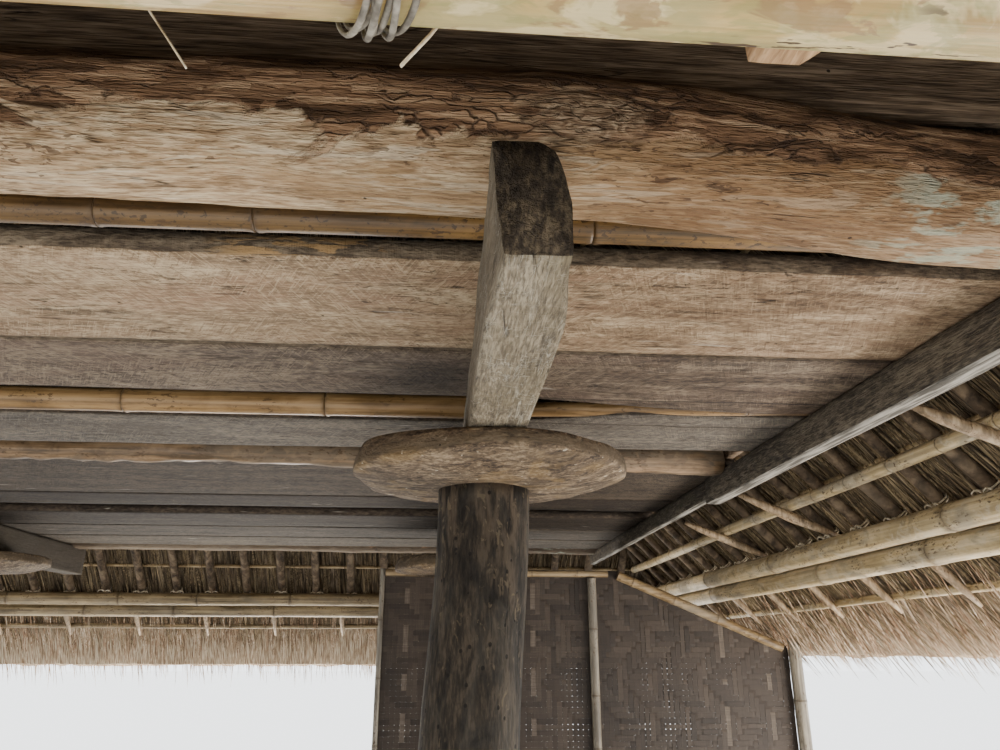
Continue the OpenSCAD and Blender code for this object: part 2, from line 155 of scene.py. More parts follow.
class Finish:
    """A Principled material with helpers that each add one node and return its output."""

    def __init__(self, name, rough=0.85, gloss=0.25):
        self.material = bpy.data.materials.new(name)
        self.material.use_nodes = True
        self.tree = self.material.node_tree
        self.shader = self.tree.nodes["Principled BSDF"]
        self.shader.inputs["Roughness"].default_value = rough
        self.shader.inputs["Specular IOR Level"].default_value = gloss
        self.place = self.add("ShaderNodeTexCoord").outputs["Object"]

    def add(self, kind, inputs=None, **settings):
        return add_node(self.tree, kind, inputs, **settings)

    def scaled(self, scale, turn=(0, 0, 0)):
        place = self.place
        if any(turn):
            place = self.add("ShaderNodeMapping", {"Vector": place, "Rotation": turn}).outputs[0]
        return self.add("ShaderNodeMapping", {"Vector": place, "Scale": scale}).outputs[0]

    def noise(self, scale, detail=6, warp=0.0, rough=0.6, turn=(0, 0, 0)):
        # Waves finer than a millimetre or so don't show, so they aren't summed
        detail = min(detail, max(1.0, math.log2(FINEST / max(scale))))
        return self.add("ShaderNodeTexNoise", {
            "Vector": self.scaled(scale, turn), "Scale": 1, "Detail": detail,
            "Roughness": rough, "Distortion": warp}).outputs["Fac"]

    def cells(self, scale, feature="F1"):
        return self.add("ShaderNodeTexVoronoi", {"Vector": self.scaled(scale), "Scale": 1},
                        feature=feature).outputs["Distance"]

    def math(self, kind, a, b=0.0, clamp=False):
        return self.add("ShaderNodeMath", {0: a, 1: b}, operation=kind, use_clamp=clamp).outputs[0]

    def times(self, a, b):
        return self.math("MULTIPLY", a, b)

    def plus(self, a, b):
        return self.math("ADD", a, b)

    def minus(self, a, b):
        return self.math("SUBTRACT", a, b)

    def most(self, a, b):
        return self.math("MAXIMUM", a, b)

    def total(self, *shares):
        """Sum of values, each times its weight."""
        summed = None
        for value, weight in shares:
            part = value if weight == 1 else self.times(value, weight)
            summed = part if summed is None else self.plus(summed, part)
        return summed

    def between(self, value, low, high, to=(0, 1)):
        """Value turned from low..high to 0..1, or to the range named."""
        return self.add("ShaderNodeMapRange", {
            "Value": value, "From Min": low, "From Max": high,
            "To Min": to[0], "To Max": to[1]}).outputs[0]

    def blend(self, amount, a, b, kind="MIX"):
        return self.add("ShaderNodeMix", {0: amount, 6: a, 7: b}, data_type="RGBA",
                        blend_type=kind).outputs[2]

    def coat(self, colour, mask, share, tone):
        """Lays a web colour over another colour where the mask is 1, as a share of its own."""
        return self.blend(self.times(mask, share), colour, paint(tone))

    def tones(self, value, stops):
        """Colour ramp through (place, web colour) stops."""
        stops = list(stops)
        node = self.add("ShaderNodeValToRGB", {"Fac": value})
        ramp = node.color_ramp
        while len(ramp.elements) < len(stops):
            ramp.elements.new(0.5)
        for element, (at, tone) in zip(ramp.elements, stops):
            element.position = at
            element.color = paint(tone)
        return node.outputs["Color"]

    def cracks(self, scale, width, warp=1.2):
        """Thin lines along a noise's middle value, 1 in the crack and 0 beside it."""
        level = self.noise(scale, 5, warp, 0.55)
        off = self.math("ABSOLUTE", self.minus(level, 0.5))
        return self.between(off, 0, width, (1, 0))

    def axis(self, name):
        return self.add("ShaderNodeSeparateXYZ", {"Vector": self.place}).outputs[name]

    def tag(self, name):
        """Value of an attribute that the piece carries."""
        return self.add("ShaderNodeAttribute", attribute_name=name).outputs["Fac"]

    def near_lines(self, axis, places, width):
        """1 at planes across an axis, fading to 0 over an uneven width."""
        wander = self.times(self.minus(self.noise((9, 9, 9), 4), 0.5), 0.024)
        spot = self.plus(self.axis(axis), wander)
        near = None
        for place in places:
            off = self.math("ABSOLUTE", self.minus(spot, float(place)))
            near = off if near is None else self.math("MINIMUM", near, off)
        return self.between(near, width * 0.3, width, (1, 0))

    def spot(self, at, inner, outer):
        """1 near one point, fading to 0 at the outer distance."""
        off = self.add("ShaderNodeVectorMath", {0: self.place, 1: at},
                       operation="DISTANCE").outputs[1]
        uneven = self.times(self.minus(self.noise((14, 14, 14), 4), 0.5), inner)
        return self.between(self.plus(off, uneven), inner, outer, (1, 0))

    def facing(self, name, low, high, crisp=False):
        """0 to 1 as the surface turns from low to high along an axis."""
        turned = self.add("ShaderNodeNewGeometry").outputs["True Normal" if crisp else "Normal"]
        value = self.add("ShaderNodeSeparateXYZ", {"Vector": turned}).outputs[name]
        return self.between(value, low, high)

    def finish(self, colour, height=None, depth=0.004, strength=0.8, rough=None):
        """Joins the colour, the relief and any uneven roughness to the shader."""
        self.tree.links.new(colour, self.shader.inputs["Base Color"])
        if height is not None:
            node = self.add("ShaderNodeBump", {"Height": height, "Distance": depth,
                                               "Strength": strength})
            self.tree.links.new(node.outputs[0], self.shader.inputs["Normal"])
        if rough is not None:
            self.tree.links.new(rough, self.shader.inputs["Roughness"])
        return self.material


def along(axis, fine, coarse):
    """Noise scale that is coarse along one axis and fine across it."""
    return tuple(coarse if axis == name else fine for name in "XYZ")


paper = Finish("pale_floor", rough=0.9)
pale_floor.data.materials.append(paper.finish(
    paper.tones(paper.noise((3, 3, 3)), [(0, "#f1f0ee"), (1, "#f6f5f4")]),
    paper.noise((40, 40, 40)), 0.0005))
print("finish helpers ready")

# %% [markdown]
# ## Shapes from the frame
# A hewn timber can be sculpted, displaced by a texture, or skinned over rings that a script bends.
# Rings are the easiest to control: each ring is one cut across the timber, and a smooth random
# field moves its points in and out, so no face stays flat and no edge stays straight.

# %% Random field and skins
def eased(x, start, stop):
    """0 to 1 as x goes from start to stop, slow at both ends."""
    t = np.clip((x - start) / (stop - start), 0, 1)
    return t * t * (3 - 2 * t)


def field(points, seed, size):
    """Smooth values from -1 to 1 at points, with features of about that size in metres."""
    at = np.asarray(points, float) / size
    cell = np.floor(at).astype(np.int64)
    part = at - cell
    part = part * part * (3 - 2 * part)
    total = np.zeros(len(at))
    for corner in range(8):
        step = np.array([corner & 1, corner >> 1 & 1, corner >> 2 & 1])
        key = cell + step
        mixed = key[:, 0] * 73856093 ^ key[:, 1] * 19349663 ^ key[:, 2] * 83492791
        mixed = (mixed ^ seed * 2654435761) & 0xFFFFFFFF
        mixed = (mixed ^ mixed >> 15) * 1274126177 & 0xFFFFFFFF
        value = (mixed >> 8 & 0xFFFF) / 32767.5 - 1
        total += value * np.prod(np.where(step == 1, part, 1 - part), axis=1)
    return total


def side_quads(count, sides, closed=False):
    """Quads between rings of equal count; closed also joins the last ring to the first."""
    k = np.arange(count if closed else count - 1)[:, None] * sides
    after = (k + sides) % (count * sides)
    s = np.arange(sides)[None, :]
    t = (s + 1) % sides
    return np.stack([k + s, k + t, after + t, after + s], axis=-1).reshape(-1, 4).tolist()


def skin(rings):
    """Closed surface over rings of equal count, the first and last filled."""
    rings = np.asarray(rings, float)
    count, sides = rings.shape[:2]
    points = np.vstack([rings.reshape(-1, 3), rings[0].mean(0), rings[-1].mean(0)])
    first, last, base = count * sides, count * sides + 1, (count - 1) * sides
    low = [(first, (a + 1) % sides, a) for a in range(sides)]
    high = [(last, base + a, base + (a + 1) % sides) for a in range(sides)]
    return points, side_quads(count, sides) + low + high


def around(sides):
    """Angles of equal steps once round."""
    return np.linspace(0, 2 * math.pi, sides, endpoint=False)


def ring_at(turn, radius, z):
    """Level ring of points at the angles turn."""
    return np.stack([np.cos(turn) * radius, np.sin(turn) * radius, np.full(len(turn), z)], axis=1)


def joined(parts):
    """Several (points, faces) made one."""
    points, faces, base = [], [], 0
    for p, f in parts:
        points.append(p)
        faces += [[i + base for i in face] for face in f]
        base += len(p)
    return np.vstack(points), faces


def piece(name, shape, finish, nodes=(), smooth=True):
    """Mesh object with its finish that rides on the building and stands for CAD nodes."""
    mesh = bpy.data.meshes.new(name)
    mesh.from_pydata(np.asarray(shape[0]).tolist(), [], shape[1])
    mesh.polygons.foreach_set("use_smooth", [smooth] * len(mesh.polygons))
    mesh.materials.append(finish)
    made = bpy.data.objects.new(name, mesh)
    bpy.context.scene.collection.objects.link(made)
    return settle(made, nodes)


triangles = {}


def settle(made, nodes=()):
    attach(made, "root")
    if nodes:
        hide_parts(*nodes)
    made.data.calc_loop_triangles()
    triangles[made.name] = len(made.data.loop_triangles)
    return made


print("skins ready")

# %% [markdown]
# A round pole in the frame is a plain cylinder. Its axis and radius can be read back from its
# points: loose parts are found by spreading labels over shared edges, and the longest direction
# of each part is its axis. So the dressed poles follow the frame whatever its sizes are.

# %% Poles read back from the frame
def node_points(node):
    """All points of a CAD node, to a hundredth of a millimetre."""
    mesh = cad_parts[node].data
    co = np.empty(len(mesh.vertices) * 3)
    mesh.vertices.foreach_get("co", co)
    return np.round(co.reshape(-1, 3), 5)


def rods(node):
    """(low end, high end, radius) of every round pole in a CAD node."""
    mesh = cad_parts[node].data
    spots, same = np.unique(node_points(node), axis=0, return_inverse=True)
    ends = np.empty(len(mesh.edges) * 2, int)
    mesh.edges.foreach_get("vertices", ends)
    a, b = same.ravel()[ends].reshape(-1, 2).T
    label = np.arange(len(spots))
    while True:
        before = label.copy()
        low = np.minimum(label[a], label[b])
        np.minimum.at(label, a, low)
        np.minimum.at(label, b, low)
        label = label[label]
        if (label == before).all():
            break
    found = []
    for group in np.unique(label):
        part = spots[label == group]
        middle = part.mean(0)
        axis = np.linalg.svd(part - middle, full_matrices=False)[2][0]
        axis *= 1 if axis[np.argmax(np.abs(axis))] > 0 else -1
        t = (part - middle) @ axis
        away = np.linalg.norm(part - middle - np.outer(t, axis), axis=1)
        found.append((middle + axis * t.min(), middle + axis * t.max(), float(np.median(away))))
    return sorted(found, key=lambda r: (round(r[0][0], 2), round(r[0][1], 2), round(r[0][2], 2)))


poles_found = {n: rods(n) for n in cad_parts
               if n.startswith(("eave_poles", "rafters", "ridge_and", "battens", "floor_poles",
                                "wall_posts", "wall_rails"))}
print({n: len(r) for n, r in poles_found.items()})

# %% [markdown]
# ## Posts and rat-guard discs
# The posts are thick hardwood trunks, dressed with an adze until nearly round and darkened by
# hands, smoke and damp. The disc on each is cut from one wide slab with a rim and a hollow-chested
# underside. A lathe shape gives the disc, pushed out of true, because it was carved by eye.

# %% Dark post wood
def post_finish():
    f = Finish("post_wood", rough=0.8)
    fibre = f.noise((26, 26, 8), 8, 0.6)
    fine = f.noise((120, 120, 24), 5)
    base = f.tones(f.total((fibre, 0.6), (fine, 0.4)),
                   [(0.4, "#15110d"), (0.5, "#2a241c"), (0.6, "#443b30")])
    patches = f.between(f.noise((4, 4, 2.2), 6), 0.54, 0.68, (0, 0.4))
    base = f.blend(patches, base, paint("#4a4135"))
    # Scraps of bark, longer than wide, and near the disc a browner, rubbed stretch
    scrap = f.between(f.noise((44, 44, 22), 7, 0.7), 0.58, 0.62)
    patchy = f.between(f.noise((7, 7, 4), 4), 0.47, 0.55)
    base = f.coat(base, f.times(scrap, patchy), 0.55, "#665945")
    rubbed = f.times(f.between(f.axis("Z"), 1.8, 1.95), f.between(fibre, 0.47, 0.56))
    base = f.coat(base, rubbed, 0.45, "#5f5040")
    grey = f.between(f.noise((9, 9, 4), 7, 0.8), 0.5, 0.62)
    base = f.coat(base, grey, 0.25, "#4a463f")
    crack = f.times(f.cracks((11, 11, 0.9), 0.008), f.between(f.noise((4, 4, 4)), 0.5, 0.6))
    hole = f.between(f.cells((27, 27, 23)), 0.11, 0.14, (1, 0))
    dark = f.most(crack, hole)
    base = f.coat(base, dark, 0.85, "#14100c")
    height = f.minus(f.total((fibre, 1), (fine, 0.35)), f.times(dark, 0.9))
    return f.finish(base, height, 0.006)


post_wood = post_finish()

# %% Posts
TENON = 0.074           # radius of a post's tenon, in the disc's hole of 0.078


def post_lean(z, top):
    """How far a trunk has wandered to the left at height z, on its way down from the disc."""
    return -0.034 * eased(top - z, 0, 0.75)


def post_shape(node, seed):
    low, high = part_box(node)
    disc_low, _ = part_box(node.replace("post", "disc"))
    mid = (low + high) / 2
    radius = (high.x - low.x) / 2
    turn = around(48)
    flats = 1 - 0.012 * np.abs(np.sin(turn * 3.5 + seed)) ** 3
    rings = []
    for z in np.linspace(0, disc_low.z, 56):
        ring = ring_at(turn, radius * flats, z)
        push = field(ring * [1, 1, 0.25] + seed, seed, 0.09) * 0.0035 - 0.002
        ring[:, :2] *= (0.975 + 0.02 * (1 - z / disc_low.z) + push / radius)[:, None]
        rings.append(ring + [mid.x + post_lean(z, disc_low.z), mid.y, 0])
    for z in np.linspace(disc_low.z + 0.001, high.z - 0.001, 4):
        rings.append(ring_at(turn, TENON, z) + [mid.x, mid.y, 0])
    return skin(rings)


CORNERS = ["front_left", "front_right", "back_left", "back_right"]
for seed, corner in enumerate(CORNERS, 3):
    piece("visual_post_" + corner, post_shape("post_" + corner, seed), post_wood,
          ["post_" + corner])
print("posts", triangles["visual_post_front_left"])

# %% Disc wood
def disc_finish():
    f = Finish("disc_wood", rough=0.82)
    # Slab wood rotted into ridges and pits: the grain swirls round old knots
    grain = f.noise((13, 25, 36), 9, 1.1)
    fine = f.noise((85, 150, 180), 5, 0.5)
    base = f.tones(f.total((grain, 0.6), (fine, 0.4)),
                   [(0.4, "#372d23"), (0.475, "#5b4c3c"), (0.54, "#75644f"), (0.61, "#94826b")])
    split = f.times(f.cracks((7, 19, 32), 0.009, 1.2), f.between(f.noise((6, 6, 9)), 0.47, 0.55))
    base = f.coat(base, split, 0.65, "#2c2218")
    ochre = f.between(f.noise((6, 6, 12), 6, 0.8), 0.53, 0.62)
    base = f.coat(base, ochre, 0.35, "#8f7448")
    stain = f.between(f.noise((8, 11, 14), 9, 0.6), 0.5, 0.56)
    base = f.coat(base, stain, 0.45, "#4c4033")
    spot = f.between(f.noise((38, 38, 38), 2), 0.69, 0.73)
    base = f.coat(base, spot, 0.6, "#d4c8b2")
    upright = f.minus(1.0, f.most(f.facing("Z", 0, 1), f.facing("Z", 0, -1)))
    rim = f.between(upright, 0.45, 0.75)
    base = f.coat(base, rim, 0.75, "#524636")
    crack = f.times(f.cracks((3, 13, 30), 0.012), f.between(f.noise((4, 4, 4)), 0.48, 0.6))
    hole = f.between(f.cells((20, 20, 20)), 0.035, 0.055, (1, 0))
    dark = f.most(f.times(crack, 0.8), hole)
    base = f.coat(base, dark, 0.85, "#1c150f")
    height = f.minus(f.total((grain, 1), (fine, 0.5)), f.times(f.most(dark, split), 0.6))
    return f.finish(base, height, 0.009)


disc_wood = disc_finish()

# %% Discs
DISC_SHIFT = {"front_right": (0.016, 0.0), "front_left": (-0.006, 0.004),
              "back_left": (0.008, -0.006), "back_right": (-0.008, 0.0)}


def disc_shape(corner, seed):
    low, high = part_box("disc_" + corner)
    mid = (low + high) / 2
    edge = (high.x - low.x) / 2
    foot, thick, rim = edge * 0.6, high.z - low.z, 0.046
    # Out along the underside, up the rim, in over the top and down the hole
    hole = TENON + 0.004
    profile = [(hole, thick), (hole, 0.0), (0.14, -0.001), (foot, 0.001)]
    for t in np.linspace(0.08, 1, 12):
        swell = math.sin(t * math.pi) * 0.009
        profile.append((foot + (edge - foot) * t + swell, (thick - rim) * t ** 1.15))
    profile += [(edge + 0.002, thick - rim * 0.7), (edge + 0.001, thick - rim * 0.35),
                (edge - 0.003, thick - 0.004), (edge - 0.014, thick), (edge * 0.6, thick - 0.001)]
    turn = around(120)
    rings = []
    for radius, height in profile:
        ring = ring_at(turn, radius, height)
        if radius > 0.1:
            push = field(ring + seed * 7, seed, 0.13) * 0.01 * (radius / edge)
            push += field(ring + seed, seed + 2, 0.035) * 0.002
            if corner == "front_right":
                # This slab was left square towards the front and the left
                push += 0.04 * (radius / edge) ** 3 * np.exp(-((turn - 3.8) / 0.42) ** 2)
                push -= 0.034 * (radius / edge) ** 3 * np.exp(-((turn - 3.1) / 0.4) ** 2)
            ring[:, :2] *= (1 + push / radius)[:, None]
        if radius > foot and height < thick - 0.003:
            # The rim hangs lower on the left, where the slab was thicker
            share = (radius - foot) / (edge - foot)
            ring[:, 2] -= share * 0.026 * np.clip(-np.cos(turn - 0.25), 0, 1) ** 1.5
            ring[:, 2] += field(ring + seed, seed + 9, 0.06) * 0.0035
        rings.append(ring)
    points = np.vstack(rings)
    outer = points[:, 0] ** 2 + points[:, 1] ** 2 > 0.1 ** 2
    points[outer, :2] += DISC_SHIFT[corner]
    return points + [mid.x, mid.y, low.z], side_quads(len(rings), len(turn), closed=True)


for seed, corner in enumerate(CORNERS, 11):
    piece("visual_disc_" + corner, disc_shape(corner, seed), disc_wood,
          ["disc_" + corner])
print("discs", triangles["visual_disc_front_left"])

# %% [markdown]
# ## Hewn timbers
# Girders, logs, planks, edge beams and sills are all split and adzed. One finish recipe serves
# them, with each timber's own tones: long fibres, worn patches, thin cracks that follow the
# grain, insect holes, and for the planks the slanting bites of the adze.

# %% Hewn wood recipe
# Darker tones for the planks' front split faces: painted shade, darker still on the far planks
NEAR_FACE_SHADE = ("#4b4034", "#6a5d4c", "#857662")
FAR_FACE_SHADE = ("#2e2720", "#453b31", "#5c5043")


def hewn(name, grain, tones, patch, axis="X", patch_share=(0.5, 0.68), adze=0.0,
         crack_tone="#2a1f16", holes=True, edges=None, short=1.0, face=NEAR_FACE_SHADE):
    """Finish, colour and relief of one timber. Edges are an axis and the places of a plank's
    edges on it, face the darker tones painted on its front split side as painted shade, short the
    length of its fibres."""
    f = Finish(name)
    long_fibre = f.noise(along(axis, 13, 1.5 * short), 7, 0.5)
    mottle = f.noise(along(axis, 60, 16 * short), 7, 0.5)
    fine = f.noise(along(axis, 230, 30 * short), 4, 0.2)
    mixed = f.total((long_fibre, 0.35), (fine, 0.3), (mottle, 0.35))
    base = f.tones(mixed, zip((0.42, 0.5, 0.58), tones))
    worn = f.between(f.noise(along(axis, 5, 2), 8, 0.5), *patch_share)
    base = f.coat(base, worn, 0.65, patch)
    # Single dark and bleached fibres over the broad tones
    dark_thread = f.between(f.noise(along(axis, 260, 26 * short), 5, 0.3), 0.57, 0.61)
    pale_thread = f.between(f.noise(along(axis, 170, 12 * short), 5, 0.4), 0.58, 0.62)
    base = f.coat(base, dark_thread, 0.55, tones[0])
    base = f.coat(base, pale_thread, 0.4, tones[2])
    line = f.cracks(along(axis, 10, 0.8), 0.008, 0.7)
    dark = f.times(line, f.between(f.noise((4, 4, 4), 3), 0.52, 0.62))
    if holes:
        dark = f.most(dark, f.between(f.cells((11, 11, 11)), 0.028, 0.042, (1, 0)))
    base = f.coat(base, dark, 0.85, crack_tone)
    height = f.total((mottle, 0.8), (fine, grain))
    height = f.minus(height, f.times(dark_thread, 0.25))
    if adze:
        # The blade's strokes lie across the grain, in two crossing slants
        for slant, spread in ((0.35, (3, 5, 5)), (-0.45, (2.4, 6, 6))):
            stroke = f.noise((250, 14, 14), 3, 0.2, turn=(0, 0, slant))
            facet = f.noise((42, 8, 8), 3, 0.3, turn=(0, 0, slant))
            where = f.between(f.noise(spread, 4), 0.42, 0.54)
            pale = f.times(f.between(stroke, 0.59, 0.64), where)
            base = f.coat(base, pale, 0.5, tones[2])
            deep = f.times(f.between(stroke, 0.39, 0.35), where)
            base = f.coat(base, deep, 0.55, tones[0])
            cuts = f.times(f.total((stroke, 0.3), (facet, 1)), where)
            height = f.total((height, 1), (cuts, adze))
        # Thin chips that have come away leave short dark steps
        chip = f.times(f.between(f.noise((16, 62, 62), 7, 1.2), 0.61, 0.63),
                      f.between(f.noise((3, 6, 6), 3), 0.5, 0.58))
        base = f.coat(base, chip, 0.7, crack_tone)
        height = f.minus(height, f.times(chip, 0.6))
    if edges:
        # Plank edges darkened along the joints: partly wear, partly painted shade in the gaps
        # between planks
        edge_wear_and_joint_shade = f.near_lines(edges[0], edges[1:], 0.009)
        base = f.coat(base, edge_wear_and_joint_shade, 0.8, "#2e251d")
        # Painted shade: the plank's front split face is blended to darker tones
        front_face_shade = f.facing(edges[0], -0.45, -0.7, True)
        base = f.blend(f.times(front_face_shade, 0.85), base,
                       f.tones(mixed, zip((0.42, 0.5, 0.58), face)))
    height = f.minus(height, f.times(dark, 1.2))
    return f, base, height


def timber(low, high, axis, *, step, wave, edge_wave, round_off, seed, bend=None, across=0.03):
    """Hewn bar between two corners, its grain along X or Y. Points are step apart along it and
    across apart round it; wave and edge_wave are how far its faces and edges stray."""
    low, high = np.array(low, float), np.array(high, float)
    long = "XYZ".index(axis)
    wide, tall = [i for i in range(3) if i != long]
    w, h = high[wide] - low[wide], high[tall] - low[tall]
    nw, nh = max(2, int(round(w / across))), max(2, int(round(h / across)))
    # Once round the cut, with its corners taken off
    flat = [(-w / 2 + w * i / nw, -h / 2) for i in range(nw)]
    flat += [(w / 2, -h / 2 + h * i / nh) for i in range(nh)]
    flat += [(w / 2 - w * i / nw, h / 2) for i in range(nw)]
    flat += [(-w / 2, h / 2 - h * i / nh) for i in range(nh)]
    flat = np.array(flat)
    inner = np.clip(flat, [-w / 2 + round_off, -h / 2 + round_off],
                    [w / 2 - round_off, h / 2 - round_off])
    out = flat - inner
    size = np.linalg.norm(out, axis=1, keepdims=True)
    facing = out / np.maximum(size, 1e-9)
    flat = inner + facing * round_off
    if long == 1:
        flat, facing = flat[::-1], facing[::-1]
    rings = []
    middle = (low + high) / 2
    count = max(3, int((high[long] - low[long]) / step))
    for t in np.linspace(low[long], high[long], count):
        ring = np.zeros((len(flat), 3))
        ring[:, long] = t
        ring[:, wide] = flat[:, 0] + middle[wide]
        ring[:, tall] = flat[:, 1] + middle[tall]
        stretch = np.ones(3)
        stretch[long] = 0.35
        push = field(ring * stretch, seed, 0.11) * wave - wave
        rim = field(ring * stretch + 5, seed + 1, 0.06) * edge_wave
        ring[:, wide] += facing[:, 0] * (push + rim)
        ring[:, tall] += facing[:, 1] * push
        if bend is not None:
            ring = bend(ring)
        rings.append(ring)
    return skin(rings)


print("hewn timber ready")

# %% [markdown]
# The floor planks are a hand's breadth thick and up to seventy centimetres wide, each from its own
# trunk. Their tones go from warm and pale near the front to greyer and near black further in,
# partly the wood's own tone and partly painted shade deep under the floor, lighter again towards
# the back.

# %% Planks
# Plank tones, front to back: the darkening further in is partly painted shade under the floor
PLANK_TONES = {
    1: (("#75614b", "#9d866b", "#bfab8d"), "#94745c"),
    2: (("#4c4137", "#6f6051", "#93836f"), "#6a5649"),
    3: (("#464039", "#625c54", "#7e7366"), "#564e45"),
    4: (("#27201a", "#3e352b", "#584c3e"), "#382e25"),
    5: (("#1c1611", "#2c241d", "#3f362b"), "#28201a"),
    6: (("#1e1914", "#2f2821", "#433a30"), "#2a231c"),
    7: (("#27221c", "#3c352c", "#544b3f"), "#342d25"),
    8: (("#2f2922", "#484036", "#615747"), "#3f372d"),
}


def plank_bend(number, low, high):
    """Moves the edges of planks 2 and 3 towards the right, where one widens into the other."""
    def bend(ring):
        share = (ring[:, 1] - low.y) / (high.y - low.y)
        if number == 2:
            ring[:, 1] += 0.112 * eased(ring[:, 0], 1.35, 2.3) * share ** 2
        if number == 3:
            ring[:, 1] -= 0.125 * eased(ring[:, 0], 1.35, 1.95) * (1 - share) ** 2
            ring[:, 1] -= 0.05 * eased(ring[:, 0], 1.45, 2.0) * share ** 3
        return ring
    return bend


for number, (tones, patch) in PLANK_TONES.items():
    node = "floor_plank_%d" % number
    low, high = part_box(node)
    near = number < 3
    f, base, height = hewn("plank_wood_%d" % number, 0.5, tones, patch, adze=0.7 if near else 0.4,
                           edges=("Y", low.y, high.y), short=1.7,
                           face=NEAR_FACE_SHADE if near else FAR_FACE_SHADE)
    chalk = f.between(f.noise((3, 30, 30), 3, 0.6), 0.69, 0.74)
    base = f.coat(base, chalk, 0.5, "#d2cabb")
    if number == 1:
        # Bark and splinters are left along the front edge
        by_edge = f.near_lines("Y", [low.y - 0.004], 0.03)
        bark = f.times(by_edge, f.between(f.noise((9, 60, 60), 6, 0.8), 0.5, 0.54))
        from_here = f.math("ABSOLUTE", f.minus(f.axis("X"), 1.01))
        bark = f.times(bark, f.between(from_here, 0.1, 0.19, (1, 0)))
        base = f.coat(base, bark, 0.9, "#a08158")
    if near:
        # To the right the wood is darker, with broad curls of brown grain
        curl = f.noise((2.4, 12, 12), 7, 1.6)
        to_right = f.between(f.axis("X"), 1.45, 1.8)
        dull = f.times(to_right, f.between(curl, 0.4, 0.62, (0.2, 0.75)))
        base = f.blend(dull, base, paint(("#a08c7b", "#8d7f76")[number - 1]), "MULTIPLY")
    if number == 2:
        shade = f.spot((1.26, -1.5, 2.237), 0.06, 0.3)
        base = f.coat(base, shade, 0.75, "#2c2520")
    finish = f.finish(base, height, 0.006, 1.0)
    piece("visual_" + node, timber(
        low, high, "X", step=0.05, wave=0.002, edge_wave=0.006, round_off=0.006,
        seed=20 + number, bend=plank_bend(number, low, high), across=0.03 if number < 5 else 0.05),
        finish, [node])
print("planks", sum(v for k, v in triangles.items() if "plank" in k))

# %% [markdown]
# The girders' lower faces catch the light: pale grey with a net of whitish checks. Their ends are
# nearly black, where rain and hands reach them.

# %% Girders
def girder_bend(side):
    """Widens the beam behind its end, leans the end over and rounds its upper corner."""
    low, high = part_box("girder_" + side)
    grow = 0.032 if side == "right" else 0.02

    def bend(ring):
        back = eased(ring[:, 1], low.y, low.y + 0.3)
        near = 1 - back
        x_share = (ring[:, 0] - low.x) / (high.x - low.x)
        z_share = (ring[:, 2] - low.z) / (high.z - low.z)
        ring[:, 0] += x_share * back * grow
        ring[:, 0] += near * (1 - x_share) * (0.017 - 0.02 * z_share)
        ring[:, 0] -= near * x_share * np.clip(z_share - 0.45, 0, 1) * 0.045
        ring[:, 2] -= near * np.clip(x_share - 0.75, 0, 1) * np.clip(z_share - 0.7, 0, 1) * 0.2
        return ring
    return bend


f, base, height = hewn("girder_wood", 0.6, ("#544b3e", "#786d5b", "#9a8f7a"), "#71664f", axis="Y",
                       holes=False)
check = f.most(f.cracks((36, 4, 36), 0.016, 0.9), f.cracks((6, 18, 6), 0.009, 1.4))
check = f.times(check, f.between(f.noise((8, 8, 8), 3), 0.42, 0.56))
base = f.coat(base, check, 0.7, "#d2cbba")
upright = f.most(f.facing("X", -0.4, -0.8, True), f.facing("X", 0.4, 0.8, True))
base = f.coat(base, upright, 0.45, "#5d5344")
# Darker towards the back: painted shade deep under the floor
base = f.blend(f.between(f.axis("Y"), 0.2, 1.6, (0, 0.9)), base, paint("#3d362d"))
end = f.most(f.facing("Y", -0.4, -0.6, True), f.facing("Y", 0.4, 0.6, True))
soot = f.total((f.noise((110, 110, 55), 6), 0.6), (f.noise((14, 14, 14), 8), 0.4))
soot = f.tones(soot, [(0.4, "#2e271f"), (0.5, "#473d31"), (0.6, "#685b48")])
base = f.blend(end, base, soot)
girder_wood = f.finish(base, f.minus(height, f.times(check, 0.5)), 0.008)
for seed, side in enumerate(("left", "right"), 40):
    low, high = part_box("girder_" + side)
    piece("visual_girder_" + side, timber(
        low, high, "Y", step=0.04, wave=0.003, edge_wave=0.003, round_off=0.009, seed=seed,
        bend=girder_bend(side), across=0.015), girder_wood, ["girder_" + side])
print("girders", triangles["visual_girder_left"])

# %% [markdown]
# The end logs are whole trunks. The lower half is hewn pale, the upper half keeps reddish, deeply
# cracked old wood. The cut across one is a circle with flats, and the field that moves it is
# rougher above than below.

# %% End logs
def log_shape(node, seed, bow):
    low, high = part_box(node)
    mid = (low + high) / 2
    radius_y, half_z = (high.y - low.y) / 2, (high.z - low.z) / 2
    turn = around(56)
    out = np.stack([np.cos(turn), np.sin(turn)], axis=1)
    rings = []
    for x in np.linspace(low.x, high.x, 220 if node == "front_log" else 110):
        ring = np.stack([np.full(len(turn), x), np.cos(turn) * radius_y,
                         np.clip(np.sin(turn) * radius_y, -half_z, half_z)], axis=1)
        push = field(ring * [0.3, 1, 1], seed, 0.1) * 0.009
        push += field(ring * [0.5, 1, 1], seed + 1, 0.03) * 0.003
        rough = np.clip(np.sin(turn) * 1.5 + 0.3, 0, 1)
        push += rough * field(ring * [0.35, 1, 1], seed + 2, 0.04) * 0.009 - 0.005
        ring[:, 1:] += out * push[:, None]
        ring += [0, mid.y, mid.z]
        ring[:, 1:] += bow(x)
        rings.append(ring)
    return skin(rings)


def front_bow(x):
    """The log runs forward at the left and bows back and down to the right of the girder."""
    t = eased(x, 1.5, 2.25)
    return np.array([-0.02 + 0.062 * t, -0.03 * t])


def straight(x):
    return np.zeros(2)


